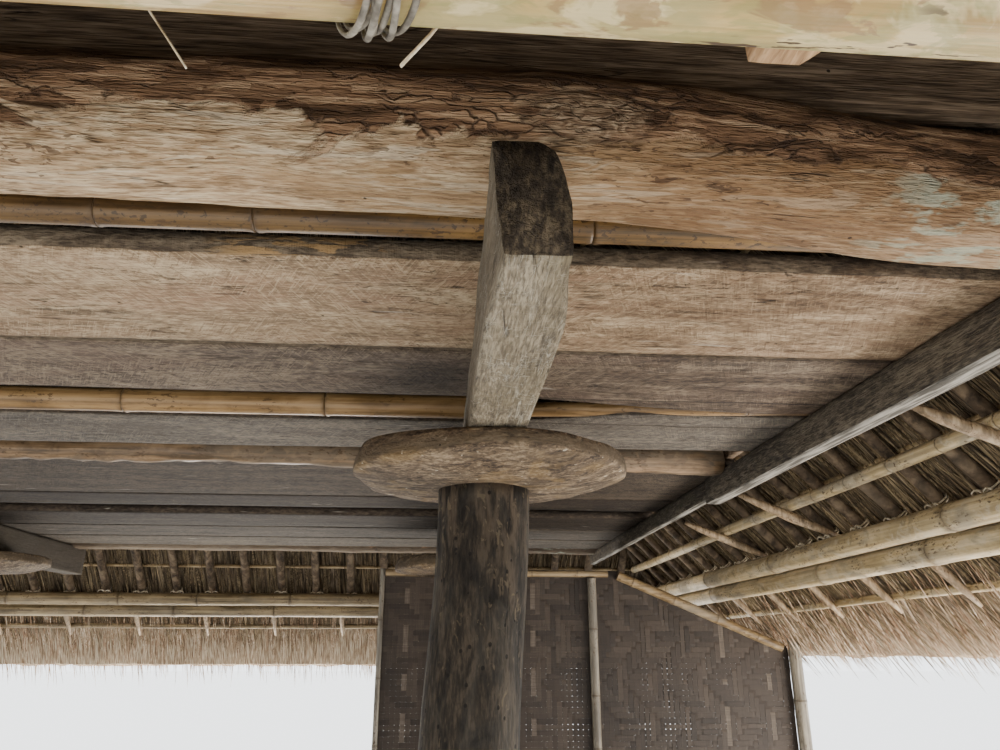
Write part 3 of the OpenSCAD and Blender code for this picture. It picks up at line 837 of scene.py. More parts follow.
f, base, height = hewn("log_wood", 0.9, ("#7f674b", "#b39878", "#d0bb9a"), "#a3845f",
                       patch_share=(0.48, 0.56), short=0.9)
wave = f.noise((5, 48, 48), 9, 0.8)
base = f.blend(f.between(wave, 0.56, 0.6, (0, 0.4)), base, paint("#d9cbb2"))
base = f.blend(f.between(wave, 0.44, 0.4, (0, 0.5)), base, paint("#866849"))
vein = f.times(f.cracks((1.6, 26, 26), 0.007, 0.8), f.between(f.noise((3, 7, 7)), 0.47, 0.56))
base = f.coat(base, vein, 0.6, "#5c4530")
nick = f.times(f.between(f.noise((26, 90, 90), 6, 0.8), 0.6, 0.62),
              f.between(f.noise((4, 8, 8), 3), 0.48, 0.58))
base = f.coat(base, nick, 0.7, "#4a3525")
base = f.blend(f.between(f.axis("X"), 1.4, 1.7, (0, 0.68)), base, paint("#a8917c"), "MULTIPLY")
# Old wood in thin flakes, each a little higher or lower, with small dark splits between
drawn = f.add("ShaderNodeVectorMath", {0: f.place, 1: f.add(
    "ShaderNodeVectorMath", {0: f.add("ShaderNodeTexNoise", {
        "Vector": f.place, "Scale": 14.0, "Detail": 6}).outputs["Color"], "Scale": 0.045},
    operation="SCALE").outputs[0]}, operation="ADD").outputs[0]
drawn = f.add("ShaderNodeMapping", {"Vector": drawn, "Scale": (15, 66, 66)}).outputs[0]
edge = f.add("ShaderNodeTexVoronoi", {"Vector": drawn, "Scale": 1}, feature="DISTANCE_TO_EDGE")
each = f.add("ShaderNodeTexVoronoi", {"Vector": drawn, "Scale": 1}, feature="F1")
level_of = f.add("ShaderNodeSeparateColor", {"Color": each.outputs["Color"]}).outputs[0]
flaky = f.between(f.noise((5, 13, 13), 5), 0.46, 0.54)
split = f.times(f.between(edge.outputs["Distance"], 0.02, 0.1, (1, 0)), flaky)
split = f.times(split, f.between(f.noise((16, 60, 60), 4, 0.8), 0.44, 0.5))
ruddy = f.tones(f.total((f.noise((3, 42, 42), 8, 0.9), 0.85), (level_of, 0.15)),
                [(0.38, "#46321f"), (0.47, "#755840"), (0.56, "#99785a"), (0.66, "#bb9d7c")])
ruddy = f.coat(ruddy, split, 0.7, "#32231a")
drift = f.times(f.minus(f.noise((2.6, 6, 6), 9, 0.8), 0.5), 0.24)
fade = f.plus(f.axis("Z"), drift)
upper = f.between(fade, 2.266, 2.274)
top = f.between(fade, 2.33, 2.42)
# The back log is painted darker than the front one: painted shade deep under the roof
base = f.blend(f.between(f.axis("Y"), -0.5, 0.5, (0, 0.75)), base, paint("#4b4238"))
greenish = f.times(f.between(f.noise((9, 26, 26), 4), 0.54, 0.6),
                   f.between(f.axis("X"), 1.95, 2.1))
base = f.coat(base, greenish, 0.6, "#a9b29e")
base = f.blend(upper, base, ruddy)
# Darker towards the top of the log: painted shade
base = f.coat(base, top, 0.5, "#4a3828")
# A grown-over branch right of the girder: a pale lens of curly wood with a groove round it
squeezed = f.add("ShaderNodeMapping", {"Vector": f.place, "Scale": (0.45, 0.3, 1)}).outputs[0]
from_knot = f.add("ShaderNodeVectorMath", {0: squeezed, 1: (1.515 * 0.45, -2.548 * 0.3, 2.309)},
                  operation="DISTANCE").outputs[1]
from_knot = f.plus(from_knot, f.times(f.minus(f.noise((11, 16, 16), 5), 0.5), 0.04))
curly = f.tones(f.noise((26, 60, 80), 8, 2.2),
                [(0.4, "#5c4936"), (0.5, "#8a735b"), (0.6, "#b29c80")])
knot = f.between(from_knot, 0.03, 0.043, (1, 0))
base = f.blend(f.times(knot, 0.8), base, curly)
groove = f.times(f.between(from_knot, 0.036, 0.044), f.between(from_knot, 0.044, 0.054, (1, 0)))
base = f.coat(base, groove, 0.55, "#3d2b1e")
deep = f.times(f.total((split, 1), (level_of, -0.8)), upper)
deep = f.minus(deep, f.times(upper, 0.6))
height = f.minus(f.minus(height, deep), f.times(groove, 0.7))
log_wood = f.finish(base, height, 0.01)
for node, seed, bow in (("front_log", 50, front_bow), ("back_log", 54, straight)):
    piece("visual_" + node, log_shape(node, seed, bow), log_wood, [node])
print("logs", triangles["visual_front_log"])

# %% [markdown]
# Edge beams run under the planks' ends. Their sides are dark, their undersides silvery. Sill
# boards above close the loft. Under the roof they look dark, and their tones are painted lighter:
# painted light that makes up for the little light reaching them.

# %% Edge beams and sills
f, base, height = hewn("beam_wood", 0.7, ("#302a23", "#4b443a", "#6d6455"), "#45412f", axis="Y")
silver = f.tones(f.noise((70, 4, 70), 7), [(0.42, "#4f4b44"), (0.5, "#79746b"), (0.58, "#9c978d")])
base = f.blend(f.facing("Z", -0.45, -0.7, True), base, silver)
beam_wood = f.finish(base, height, 0.008)
SCARF = -0.27           # where an edge beam's two lengths meet
for seed, side in enumerate(("left", "right"), 60):
    low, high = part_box("edge_beam_" + side)
    splay = 0.012 if side == "right" else -0.012

    def splayed(ring, s=splay):
        """Moves the near length aside, more and more towards the front."""
        ring[:, 0] += np.clip(SCARF - ring[:, 1], 0, 9) * s * 0.8
        return ring

    hewing = dict(step=0.05, wave=0.0025, edge_wave=0.003, round_off=0.008, across=0.025)
    near = timber(low, (high.x, SCARF + 0.03, high.z), "Y", seed=seed, bend=splayed, **hewing)
    inset = 0.012
    far_end = timber((low.x + inset, SCARF + 0.034, low.z + 0.026),
                     (high.x - inset, high.y, high.z), "Y", seed=seed + 5, **hewing)
    piece("visual_edge_beam_" + side, joined([near, far_end]), beam_wood,
          ["edge_beam_" + side])

# %% Planes of the roof, read from the thatch
spots = np.unique(node_points("thatch_right"), axis=0)
eave_z = float(spots[:, 2].min())
at_eave = spots[np.abs(spots[:, 2] - eave_z) < 1e-3]
inner_x, outer_x = float(at_eave[:, 0].min()), float(at_eave[:, 0].max())
ridge_half = float(np.abs(spots[spots[:, 2] > spots[:, 2].max() - 1e-3][:, 1]).max())
SLOPE = math.sqrt(0.5)
thatch_in = inner_x + eave_z        # value of |x| + z on the thatch's inner face
thatch_out = outer_x + eave_z
rafter_spots = node_points("rafters_right")
side_plane = float((rafter_spots[:, 0] + rafter_spots[:, 2]).min())
end_plane = side_plane + ridge_half
print("roof planes", round(side_plane, 3), round(thatch_in, 3), round(thatch_out, 3),
      "ridge half", round(ridge_half, 3), "eave", round(eave_z, 3))

# %% Sill boards
def under_slopes(ring):
    """Holds a board's points under the rafters of all four slopes."""
    for axis, plane in ((0, side_plane), (1, end_plane)):
        ring[:, 2] = np.minimum(ring[:, 2], plane - 0.004 - np.abs(ring[:, axis]))
    return ring


# Painted light: the sill tones are lighter to make up for the little light under the roof
f, base, height = hewn("sill_wood", 0.6, ("#43362a", "#6e5c49", "#927e68"), "#4f4133",
                       crack_tone="#0c0805", short=0.35)
sill_wood = f.finish(base, height, 0.005)
for seed, side in enumerate(("front", "back", "left", "right"), 70):
    low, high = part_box("sill_" + side)
    along_axis = "X" if side in ("front", "back") else "Y"
    piece("visual_sill_" + side, timber(
        low, high, along_axis, step=0.08, wave=0.001, edge_wave=0.001, round_off=0.004,
        seed=seed, bend=under_slopes), sill_wood, ["sill_" + side])
print("beams and sills done")

# %% [markdown]
# ## Bamboo
# A bamboo pole is a row of hollow stems, each closed by a raised ring. One stem with its ring is
# modelled once, and Geometry Nodes set it again and again along every pole, stretched to that
# pole's radius and to the stem's length. Points carry the place, the direction and the size.

# %% Tree that sets one shape on many points
def new_tree(name, inputs):
    """Tree with the inputs named and one mesh as its output, and the inputs as outputs."""
    tree = bpy.data.node_groups.new(name, "GeometryNodeTree")
    for label, kind in inputs:
        tree.interface.new_socket(label, in_out="INPUT", socket_type="NodeSocket" + kind)
    tree.interface.new_socket("Geometry", in_out="OUTPUT", socket_type="NodeSocketGeometry")
    return tree, add_node(tree, "NodeGroupInput").outputs


def kept_value(tree, name):
    """Vector that the points carry under a name."""
    return add_node(tree, "GeometryNodeInputNamedAttribute", {"Name": name},
                    data_type="FLOAT_VECTOR").outputs[0]


def random_value(tree, inputs, kind="FLOAT"):
    """Random value for each point; inputs 0 and 1 bound a vector, 2 and 3 a number."""
    node = add_node(tree, "FunctionNodeRandomValue", inputs, data_type=kind)
    return node.outputs[0 if kind == "FLOAT_VECTOR" else 1]


def set_on_points(tree, points, shape, aim, spin, size, finish):
    """Sets a shape on each point, turned to aim and round it by spin, and ends the tree."""
    align = add_node(tree, "FunctionNodeAlignRotationToVector", {"Vector": aim}, axis="Z")
    roll = add_node(tree, "FunctionNodeAxisAngleToRotation", {"Axis": (0, 0, 1), "Angle": spin})
    both = add_node(tree, "FunctionNodeRotateRotation",
                    {"Rotation": align.outputs[0], "Rotate By": roll.outputs[0]},
                    rotation_space="LOCAL")
    source = add_node(tree, "GeometryNodeObjectInfo", {"Object": shape})
    setting = add_node(tree, "GeometryNodeInstanceOnPoints", {
        "Points": points, "Instance": source.outputs["Geometry"],
        "Rotation": both.outputs[0], "Scale": size})
    real = add_node(tree, "GeometryNodeRealizeInstances", {0: setting.outputs[0]})
    done = add_node(tree, "GeometryNodeSetMaterial",
                    {"Geometry": real.outputs[0], "Material": finish})
    add_node(tree, "NodeGroupOutput", {0: done.outputs[0]})


def setter(name):
    """Geometry Nodes tree: Shape on each point, turned to 'aim' and scaled by 'size'."""
    tree, given = new_tree(name, (("Geometry", "Geometry"), ("Shape", "Object"),
                                  ("Spin", "Float"), ("Seed", "Int"), ("Finish", "Material")))
    spin = random_value(tree, {3: given["Spin"], "Seed": given["Seed"]})
    set_on_points(tree, given["Geometry"], given["Shape"], kept_value(tree, "aim"), spin,
                  kept_value(tree, "size"), given["Finish"])
    return tree


SETTER = setter("set_on_points")
print("tree", SETTER.name, len(SETTER.nodes), "nodes")

# %% Running a tree and keeping its mesh
ANY_WAY = 6.28          # a shape may be turned by up to one turn


def run_tree(name, mesh, tree, values, nodes=(), smooth=True):
    """Puts a tree on a mesh, keeps the result as a plain mesh and settles it."""
    made = bpy.data.objects.new(name, mesh)
    bpy.context.scene.collection.objects.link(made)
    modifier = made.modifiers.new(name, "NODES")
    modifier.node_group = tree
    for item in tree.interface.items_tree:
        if item.item_type == "SOCKET" and item.in_out == "INPUT" and item.name in values:
            modifier[item.identifier] = values[item.name]
    bpy.context.view_layer.update()
    evaluated = made.evaluated_get(bpy.context.evaluated_depsgraph_get())
    result = bpy.data.meshes.new_from_object(evaluated)
    made.modifiers.clear()
    made.data = result
    result.polygons.foreach_set("use_smooth", [smooth] * len(result.polygons))
    return settle(made, nodes)


def point_mesh(name, places, aims, sizes):
    mesh = bpy.data.meshes.new(name)
    mesh.from_pydata(np.asarray(places).tolist(), [], [])
    for key, values in (("aim", aims), ("size", sizes)):
        attribute = mesh.attributes.new(key, "FLOAT_VECTOR", "POINT")
        attribute.data.foreach_set("vector", np.asarray(values, np.float32).ravel())
    return mesh


def tag_points(mesh, name, values):
    """A value for each point of a mesh, which finishes and trees can read by its name."""
    attribute = mesh.attributes.new(name, "FLOAT", "POINT")
    attribute.data.foreach_set("value", np.asarray(values, np.float32))


def pattern_shape(name, shape, tags=None):
    """A shape that trees repeat; it isn't shown by itself. Tags are values for its points."""
    mesh = bpy.data.meshes.new(name)
    mesh.from_pydata(np.asarray(shape[0]).tolist(), [], shape[1])
    for key, values in (tags or {}).items():
        tag_points(mesh, key, values)
    return bpy.data.objects.new(name, mesh)


def turned_shape(profile, sides):
    """Round shape about Z through (radius, height) pairs."""
    return skin([ring_at(around(sides), r, h) for r, h in profile])


# Radius, height and darkness of the rings of one stem
STEM = [(0.965, 0.0, 1), (1.035, 0.008, 0.75), (1.045, 0.016, 0.25), (0.99, 0.03, 0.1),
        (0.97, 0.08, 0), (0.98, 0.35, 0), (0.98, 0.7, 0), (0.975, 0.93, 0),
        (1.0, 0.975, 0.15), (1.035, 0.991, 0.7), (0.965, 1.0, 1)]


def stem_pattern(name, profile, sides):
    dark = np.repeat([p[2] for p in profile], sides).tolist() + [1, 1]
    return pattern_shape(name, turned_shape([p[:2] for p in profile], sides), {"ring": dark})


stem_wide = stem_pattern("stem_wide", STEM, 22)
stem_thin = stem_pattern("stem_thin", STEM[::2], 10)


def stems(poles, seed, gap, bow, taper=0.08, free=None, full=0.96, rings_at=None):
    """Places, directions and sizes of the stems along poles. Rings are about gap apart, with none
    in the stretch free, or lie at rings_at. Full is the thick end's share of the radius."""
    rng = np.random.default_rng(seed)
    places, aims, sizes = [], [], []
    for number, (low, high, radius) in enumerate(poles):
        axis = (high - low) / np.linalg.norm(high - low)
        length = np.linalg.norm(high - low)
        cuts, at = [0.0], rng.uniform(0.1, gap)
        while at < length - 0.08:
            spot = low + axis * at
            if not free or not free[1] < spot[free[0]] < free[2]:
                cuts.append(at)
            at += gap * rng.uniform(0.82, 1.18)
        if rings_at and rings_at[number]:
            along_pole = int(np.argmax(np.abs(axis)))
            cuts = [0.0] + [(c - low[along_pole]) / axis[along_pole] for c in rings_at[number]]
        cuts.append(length)
        aside = np.cross(axis, [0.3, 0.2, 0.9])
        aside /= np.linalg.norm(aside)
        line = [low + axis * c + aside * bow * math.sin(c * 2.1 + seed) for c in cuts]
        flip = rng.random() < 0.5
        for a, b, c in zip(line[:-1], line[1:], cuts):
            places.append(a)
            aims.append((b - a) / np.linalg.norm(b - a))
            along_share = 1 - c / length if flip else c / length
            wide = radius * (rng.uniform(full - 0.015, full) - taper * along_share)
            sizes.append((wide, wide, np.linalg.norm(b - a)))
    return places, aims, sizes


def bamboo_run(name, row, shape, seed, finish, nodes=()):
    """One stem set along poles; row is what stems() gives."""
    run_tree(name, point_mesh(name + "_points", *row), SETTER,
             {"Shape": shape, "Spin": ANY_WAY, "Seed": seed, "Finish": finish}, nodes)


print("stem", len(stem_wide.data.polygons), "faces")

# %% [markdown]
# Dry bamboo is straw yellow, with grey weathering, tiny dark flecks along the stem and a darker
# stain at each ring. The floor's poles are deeper gold because they stay in the dry.

# %% Bamboo finishes
def bamboo(name, tones, axis, grey="#8d8371", grey_share=(0.5, 0.7), flecks=1.0, shade=None,
           stains=()):
    """Finish of poles along an axis. Stains are (tone, scale, noise limits, share), shade is a
    stretch of the axis that darkens, how far, and its tone."""
    f = Finish(name, rough=0.5, gloss=0.4)
    streak = f.noise(along(axis, 60, 1.1), 7, 0.2)
    blotch = f.noise(along(axis, 14, 5), 6, 0.5)
    mixed = f.total((streak, 0.6), (blotch, 0.4))
    base = f.tones(mixed, zip((0.4, 0.5, 0.6), tones))
    worn = f.between(f.noise(along(axis, 9, 2.6), 6, 0.7), *grey_share)
    base = f.coat(base, worn, 0.7, grey)
    for tone, scale, limits, amount in stains:
        patch = f.between(f.noise(along(axis, scale * 1.6, scale), 8, 0.6), *limits)
        base = f.coat(base, patch, amount, tone)
    if shade:
        base = f.blend(f.between(f.axis(axis), *shade[0], (0, shade[1])), base, paint(shade[2]))
    fleck = f.between(f.noise(along(axis, 110, 45), 3), 0.57, 0.6)
    near = f.between(f.noise(along(axis, 16, 6), 3), 0.5, 0.58)
    fleck = f.times(f.times(fleck, near), flecks)
    base = f.blend(f.math("MULTIPLY", fleck, 0.85, clamp=True), base, paint("#4a3620"))
    ring = f.times(f.tag("ring"), f.between(f.noise((30, 30, 30), 3), 0.3, 0.6, (0.6, 1)))
    base = f.coat(base, ring, 0.7, "#4a3a28")
    height = f.total((streak, 0.6), (f.noise(along(axis, 160, 5), 3), 1))
    return f.finish(base, height, 0.0015, 0.8, f.between(worn, 0, 1, (0.42, 0.75)))


pale_x = bamboo("eave_bamboo_x", ("#a08248", "#c3a668", "#dac489"), "X", grey="#a09768",
                grey_share=(0.52, 0.58), flecks=2,
                stains=(("#e2cf9f", 14, (0.53, 0.58), 0.6), ("#8c8a52", 26, (0.52, 0.57), 0.5),
                        ("#8a6744", 20, (0.57, 0.6), 0.6)))
pale_y = bamboo("eave_bamboo_y", ("#9c8760", "#bfa97f", "#d9c6a0"), "Y", grey="#8f8777",
                grey_share=(0.5, 0.6),
                stains=(("#c9bda4", 12, (0.55, 0.62), 0.5), ("#6f5f45", 20, (0.6, 0.66), 0.5)))
shade_x = bamboo("eave_bamboo_shade", ("#5f5138", "#8b795a", "#b09c78"), "X", grey="#7c7363")
gold = bamboo("floor_bamboo", ("#5f4829", "#876942", "#a6865c"), "X", flecks=0.9, grey="#776147",
              grey_share=(0.55, 0.7))
gold_low = bamboo("floor_bamboo_front", ("#4c391b", "#785a31", "#9c7a47"), "X", flecks=2.8,
                  grey="#624e33", grey_share=(0.55, 0.7), shade=((1.36, 1.1), 0.62, "#2f2318"),
                  stains=(("#3a2a1a", 60, (0.6, 0.63), 0.75),))
brown_pole = bamboo("floor_pole_brown", ("#524331", "#796146", "#987e61"), "X", grey="#6d6050",
                    grey_share=(0.45, 0.55),
                    stains=(("#9a7f60", 16, (0.55, 0.63), 0.3),
                            ("#40342a", 12, (0.52, 0.6), 0.35)))
stick_pale = bamboo("stick_wood", ("#74624a", "#978064", "#b8a384"), "Z", grey="#7b6e5c")
wall_bamboo = bamboo("wall_bamboo", ("#5f574b", "#857c6c", "#a59c8b"), "Z", grey="#747069")
rail_bamboo = bamboo("rail_bamboo", ("#5f4d38", "#86704f", "#a58e6b"), "X")
print("bamboo finishes done")

# %% Floor poles
first, middle, third = sorted(poles_found["floor_poles"], key=lambda r: r[0][1])
# The middle pole bends and thins beyond the right girder, where its slot narrows
turn_at = np.array([1.41, middle[0][1], middle[0][2]])
thin_end = (turn_at + [0, -0.02, -0.012], middle[1] + [0, -0.12, -0.012], 0.024)
FRONT_RINGS = [-2.2, -1.75, -1.3, -0.85, -0.4, 0.1, 0.672, 0.946, 1.556, 2.079]
row = stems([first], 5, gap=0.6, bow=0.002, taper=0.01, full=1.0, rings_at=[FRONT_RINGS])
bamboo_run("visual_floor_pole_front", row, stem_wide, 3, gold_low)
row = stems([(middle[0], turn_at, middle[2]), thin_end], 6, gap=0.6, bow=0.002, taper=0.01,
            full=1.0, rings_at=[None, [2.26]])
bamboo_run("visual_floor_poles", row, stem_wide, 4, gold, ["floor_poles"])


def round_pole(low, high, radius, seed, *, sides, step, wave=0.1, wobble, taper=0.0,
               pointed=False):
    """Peeled branch: round, a little crooked. Wave is how uneven it is, as a share of its radius,
    wobble how far its middle strays, and taper the share of the radius lost at the high end."""
    axis = (high - low) / np.linalg.norm(high - low)
    aside = np.cross(axis, [0.31, 0.17, 0.93])
    aside /= np.linalg.norm(aside)
    over = np.cross(axis, aside)
    turn = around(sides)
    count = max(3, int(np.linalg.norm(high - low) / step))
    rings = []
    for i, t in enumerate(np.linspace(0, 1, count)):
        mid = low + (high - low) * t
        free = min(1.0, min(i, count - 1 - i) / 3)
        mid = mid + aside * wobble * free * field([mid], seed, 0.5)[0]
        mid = mid + over * wobble * free * field([mid], seed + 1, 0.5)[0]
        ring = np.outer(np.cos(turn), aside) + np.outer(np.sin(turn), over)
        push = field(ring * radius + mid + seed, seed + 2, 0.05) * wave
        thin = 1.0
        if pointed:
            near = min(i, count - 1 - i)
            thin = (0.4, 0.75, 0.92)[near] if near < 3 else 1.0
        rings.append(mid + ring * radius * thin * (0.93 - taper * t + push)[:, None])
    return skin(rings)


# The third is a branch that thickens to the right and ends inside the edge beam
low, high, radius = third
third = (high + [-0.065, 0.045, 0.0], low - [0, 0, 0.016], 0.07)
shape = round_pole(*third, 90, sides=18, step=0.05, wobble=0.012, taper=0.6)
piece("visual_floor_pole_brown", shape, brown_pole)
print("floor poles", triangles["visual_floor_poles"])

# %% Eave poles and their sticks
EAVES = ("front", "right", "back", "left")
THIN = 0.04             # radius in metres up to which an eave pole is a thin one
RIGHT_RINGS = [[-2.5, -0.96, 0.57, 1.6, 2.5], [-2.2, -0.7, 0.2, 1.75]]


def eave_axis(side):
    return 0 if side in ("front", "back") else 1


def runs(side, whole=True):
    """Rods that run along a whole eave, or else the short ones between them."""
    axis = eave_axis(side)
    return [r for r in poles_found["eave_poles_" + side]
            if (abs(r[1][axis] - r[0][axis]) > 3) == whole]


for number, side in enumerate(EAVES):
    in_front = side == "front"
    finish = {"front": pale_x, "back": shade_x}.get(side, pale_y)
    row = stems([r for r in runs(side) if r[2] > THIN], 30 + number, gap=0.75, bow=0.005,
                taper=0.04, free=(0, 0.95, 1.7) if in_front else None,
                full=0.92 if in_front else 0.97, rings_at=RIGHT_RINGS if side == "right" else None)
    bamboo_run("visual_eave_thick_" + side, row, stem_wide, 7 + number, finish,
               ["eave_poles_" + side])
    row = stems([r for r in runs(side) if r[2] <= THIN], 40 + number, gap=0.3, bow=0.006)
    bamboo_run("visual_eave_thin_" + side, row, stem_thin, 17 + number, finish)
    branches = [round_pole(a, b, r * 1.5, 170 + i + number * 40, sides=9, step=0.07, wobble=0.008,
                           taper=0.1, pointed=True)
                for i, (a, b, r) in enumerate(runs(side, False))]
    piece("visual_eave_sticks_" + side, joined(branches), stick_pale)
print("eaves", {k: v for k, v in triangles.items() if "eave" in k})

# %% [markdown]
# ## Roof frame
# The rafters are thin round branches, brown black from years of smoke, with pale cut feet. Split
# bamboo battens cross them. Both can be skinned in one go from the rods.

# %% Rafters, hips and ridge
def rafter_finish():
    f = Finish("rafter_wood", rough=0.75)
    grain = f.noise((18, 18, 18), 6, 0.5)
    base = f.tones(grain, [(0.35, "#352c22"), (0.5, "#5d4e3e"), (0.65, "#85735c")])
    base = f.blend(f.between(f.noise((4, 4, 4)), 0.52, 0.7, (0, 0.6)), base, paint("#7a6b58"))
    return f.finish(base, grain, 0.004)


rafter_wood = rafter_finish()
for number, side in enumerate(EAVES):
    thicker = 1.35 if side == "back" else 1.05
    branches = [round_pole(a, b, r * thicker, 100 + i, sides=10, step=0.14, wobble=0.012)
                for i, (a, b, r) in enumerate(poles_found["rafters_" + side])]
    piece("visual_rafters_" + side, joined(branches), rafter_wood,
          ["rafters_" + side])
branches = [round_pole(*r, 140 + i, sides=12, step=0.14, wave=0.06, wobble=0.004)
            for i, r in enumerate(poles_found["ridge_and_hips"])]
piece("visual_ridge_and_hips", joined(branches), rafter_wood, ["ridge_and_hips"])
split_bamboo = bamboo("batten_bamboo", ("#6f5b3d", "#97805a", "#b8a27a"), "X", grey="#6b6152")
branches = [round_pole(*r, 150 + i, sides=8, step=0.3, wave=0.05, wobble=0.003)
            for i, r in enumerate(poles_found["battens"])]
piece("visual_battens", joined(branches), split_bamboo, ["battens"])
print("roof frame", triangles["visual_rafters_front"], triangles["visual_battens"])

# %% [markdown]
# ## Vine ties
# Each rafter's foot is lashed to the upper thick pole with a strip of vine. Two turns pass round
# the rafter just above the pole and end in a small bow with loose ends. One tie is skinned over
# its paths, and a loop sets it at each crossing with a turn and a size of its own. A tree could
# do that too, but a tie has to face the rafter and the pole at once, and that is plainer here.

# %% One tie
def vine(path, thick, sides=4):
    """Flat strip round a path."""
    path = np.asarray(path, float)
    rings = []
    turn = around(sides)
    for i, at in enumerate(path):
        ahead = path[min(i + 1, len(path) - 1)] - path[max(i - 1, 0)]
        ahead /= max(np.linalg.norm(ahead), 1e-9)
        aside = np.cross(ahead, [0.12, 0.21, 0.97])
        aside /= max(np.linalg.norm(aside), 1e-9)
        over = np.cross(ahead, aside)
        out = np.outer(np.cos(turn), aside) + np.outer(np.sin(turn), over) * 0.7
        rings.append(at + out * thick)
    return skin(rings)


def tie_shape(radius, thick, seed):
    """Two turns round a pole of that radius along Z, with a bow on its -X side."""
    rng = np.random.default_rng(seed)
    a = np.linspace(0, 4 * math.pi, 22)
    reach = radius + thick + 0.001 * np.sin(a * 2.3)
    coil = np.stack([np.cos(a) * reach, np.sin(a) * reach, a * 0.0016 + 0.004 * np.sin(a + 1)], 1)
    parts = [vine(coil, thick)]
    knot = np.array([-radius - thick * 2, 0, 0.008])
    for side in (-1, 1):
        t = np.linspace(0, 2 * math.pi, 9)
        size = rng.uniform(0.018, 0.03)
        bow = knot + np.stack([-0.006 * np.sin(t) - 0.004, side * size * (1 - np.cos(t)),
                               size * 0.8 * np.sin(t)], 1)
        parts.append(vine(bow, thick * 0.9))
        tip = knot + np.array([-0.012, side * rng.uniform(0.01, 0.04), rng.uniform(0.02, 0.05)])
        bent = (knot + tip) / 2 + rng.uniform(-1, 1, 3) * 0.008
        parts.append(vine([knot, bent, tip], thick * 0.7))
    return joined(parts)


def vine_finish(name, tones):
    f = Finish(name, rough=0.7)
    tone = f.noise((70, 70, 70), 4)
    return f.finish(f.tones(tone, zip((0.35, 0.5, 0.66), tones)), tone, 0.002)


vine_pale = vine_finish("vine_pale", ("#a8987c", "#d6c8ac", "#f2e9d6"))
vine_grey = vine_finish("vine_grey", ("#45403a", "#736d62", "#a09a8c"))
rafter_radius = poles_found["rafters_right"][0][2]
print("tie", len(tie_shape(rafter_radius, 0.003, 1)[1]), "faces")


# %% Ties at every rafter's foot
def thick_poles(side):
    """The thick poles along one eave, the upper one first."""
    return sorted((r for r in runs(side) if r[2] > THIN), key=lambda r: -r[0][2])


def tie_places(side):
    """Points on the rafters just above the upper thick pole, and the rafters' direction."""
    axis = eave_axis(side)
    upper = thick_poles(side)[0]
    ends = sorted((upper[0][axis], upper[1][axis]))
    places = []
    for low, high, radius in poles_found["rafters_" + side]:
        bottom, top = (low, high) if low[2] < high[2] else (high, low)
        if ends[0] + 0.1 < bottom[axis] < ends[1] - 0.1 and bottom[2] < upper[0][2] + 0.05:
            uphill = (top - bottom) / np.linalg.norm(top - bottom)
            share = (upper[0][2] + 0.075 - bottom[2]) / uphill[2]
            places.append((bottom + uphill * share, uphill))
    return places


rng = np.random.default_rng(8)
for number, side in enumerate(EAVES):
    outward = np.array([*[(0, -1), (1, 0), (0, 1), (-1, 0)][number], 1.0]) * SLOPE
    parts = []
    for i, (spot, uphill) in enumerate(tie_places(side)):
        down = -uphill
        across = np.cross(down, outward)
        points, faces = tie_shape(rafter_radius, 0.005, 100 * number + i)
        scale = rng.uniform(0.95, 1.15)
        parts.append((points @ np.array([outward, across, down]) * scale + spot
                      + down * rng.uniform(-0.012, 0.012), faces))
    piece("visual_ties_" + side, joined(parts), vine_pale)
print("ties", {k: v for k, v in triangles.items() if "ties" in k})

# %% Loops on the front pole
front_pole, lower_pole = thick_poles("front")
# Place along the pole, lean and slack of each loop: a bundle of seven and two single ones
LOOPS = ((1.248, 0.017, 0.003), (1.252, 0.02, 0.0005), (1.256, 0.013, 0.0045),
         (1.26, 0.016, 0.001), (1.264, 0.012, 0.0035), (1.268, 0.018, 0.001),
         (1.257, 0.005, 0.002), (0.31, -0.01, 0.001), (-0.9, 0.012, 0.001))
a = np.linspace(0, 2 * math.pi, 48)
from_low = a + math.radians(58)     # the slack hangs at the pole's lower inner side
parts = []
for i, (at, lean, sag) in enumerate(LOOPS):
    reach = lower_pole[2] * 0.93 + 0.003 + np.clip(np.cos(from_low), 0, 1) ** 2 * sag
    parts.append(vine(np.stack([at - lean * np.sin(from_low) + 0.001 * np.sin(3 * a + i),
                                lower_pole[0][1] - 0.004 + np.cos(a) * reach,
                                lower_pole[0][2] + 0.0035 + np.sin(a) * reach], 1), 0.0016, 6))
piece("visual_front_loops", joined(parts), vine_grey)

# %% [markdown]
# A short hewn wedge lies over the front pole, and two stalks of the thatch hang down behind it.

# %% Wedge and loose stalks
on_pole = front_pole[0][2] + front_pole[2] * 0.9
pole_y = front_pole[0][1]
f, base, height = hewn("wedge_wood", 0.5, ("#8d6f50", "#b18e69", "#cdab83"), "#a5835f", axis="Y",
                       holes=False)


def cut_corner(ring):
    """Takes the right corner off the wedge's inner end."""
    limit = 1.563 + np.clip(pole_y + 0.146 - ring[:, 1], 0, 1) * 0.68
    ring[:, 0] = np.minimum(ring[:, 0], limit)
    return ring


wedge = timber((1.522, pole_y - 0.15, on_pole + 0.001), (1.584, pole_y + 0.144, on_pole + 0.034),
               "Y", step=0.01, wave=0.001, edge_wave=0.001, round_off=0.003, seed=77,
               bend=cut_corner, across=0.012)
piece("visual_front_wedge", wedge, f.finish(base, height, 0.002))
behind = pole_y + front_pole[2] + 0.004
fallen = [vine([(1.085, behind - 0.004, 1.935), (1.1026, behind, 1.9062),
                (1.1178, behind + 0.002, 1.8841), (1.1327, behind, 1.861)], 0.0009, 5),
          vine([(1.315, behind - 0.004, 1.957), (1.2961, behind, 1.9271),
                (1.2777, behind + 0.003, 1.8984), (1.2607, behind, 1.8709)], 0.0015, 5)]
piece("visual_loose_stalks", joined(fallen), vine_pale)
print("front pole's wedge", triangles["visual_front_wedge"])

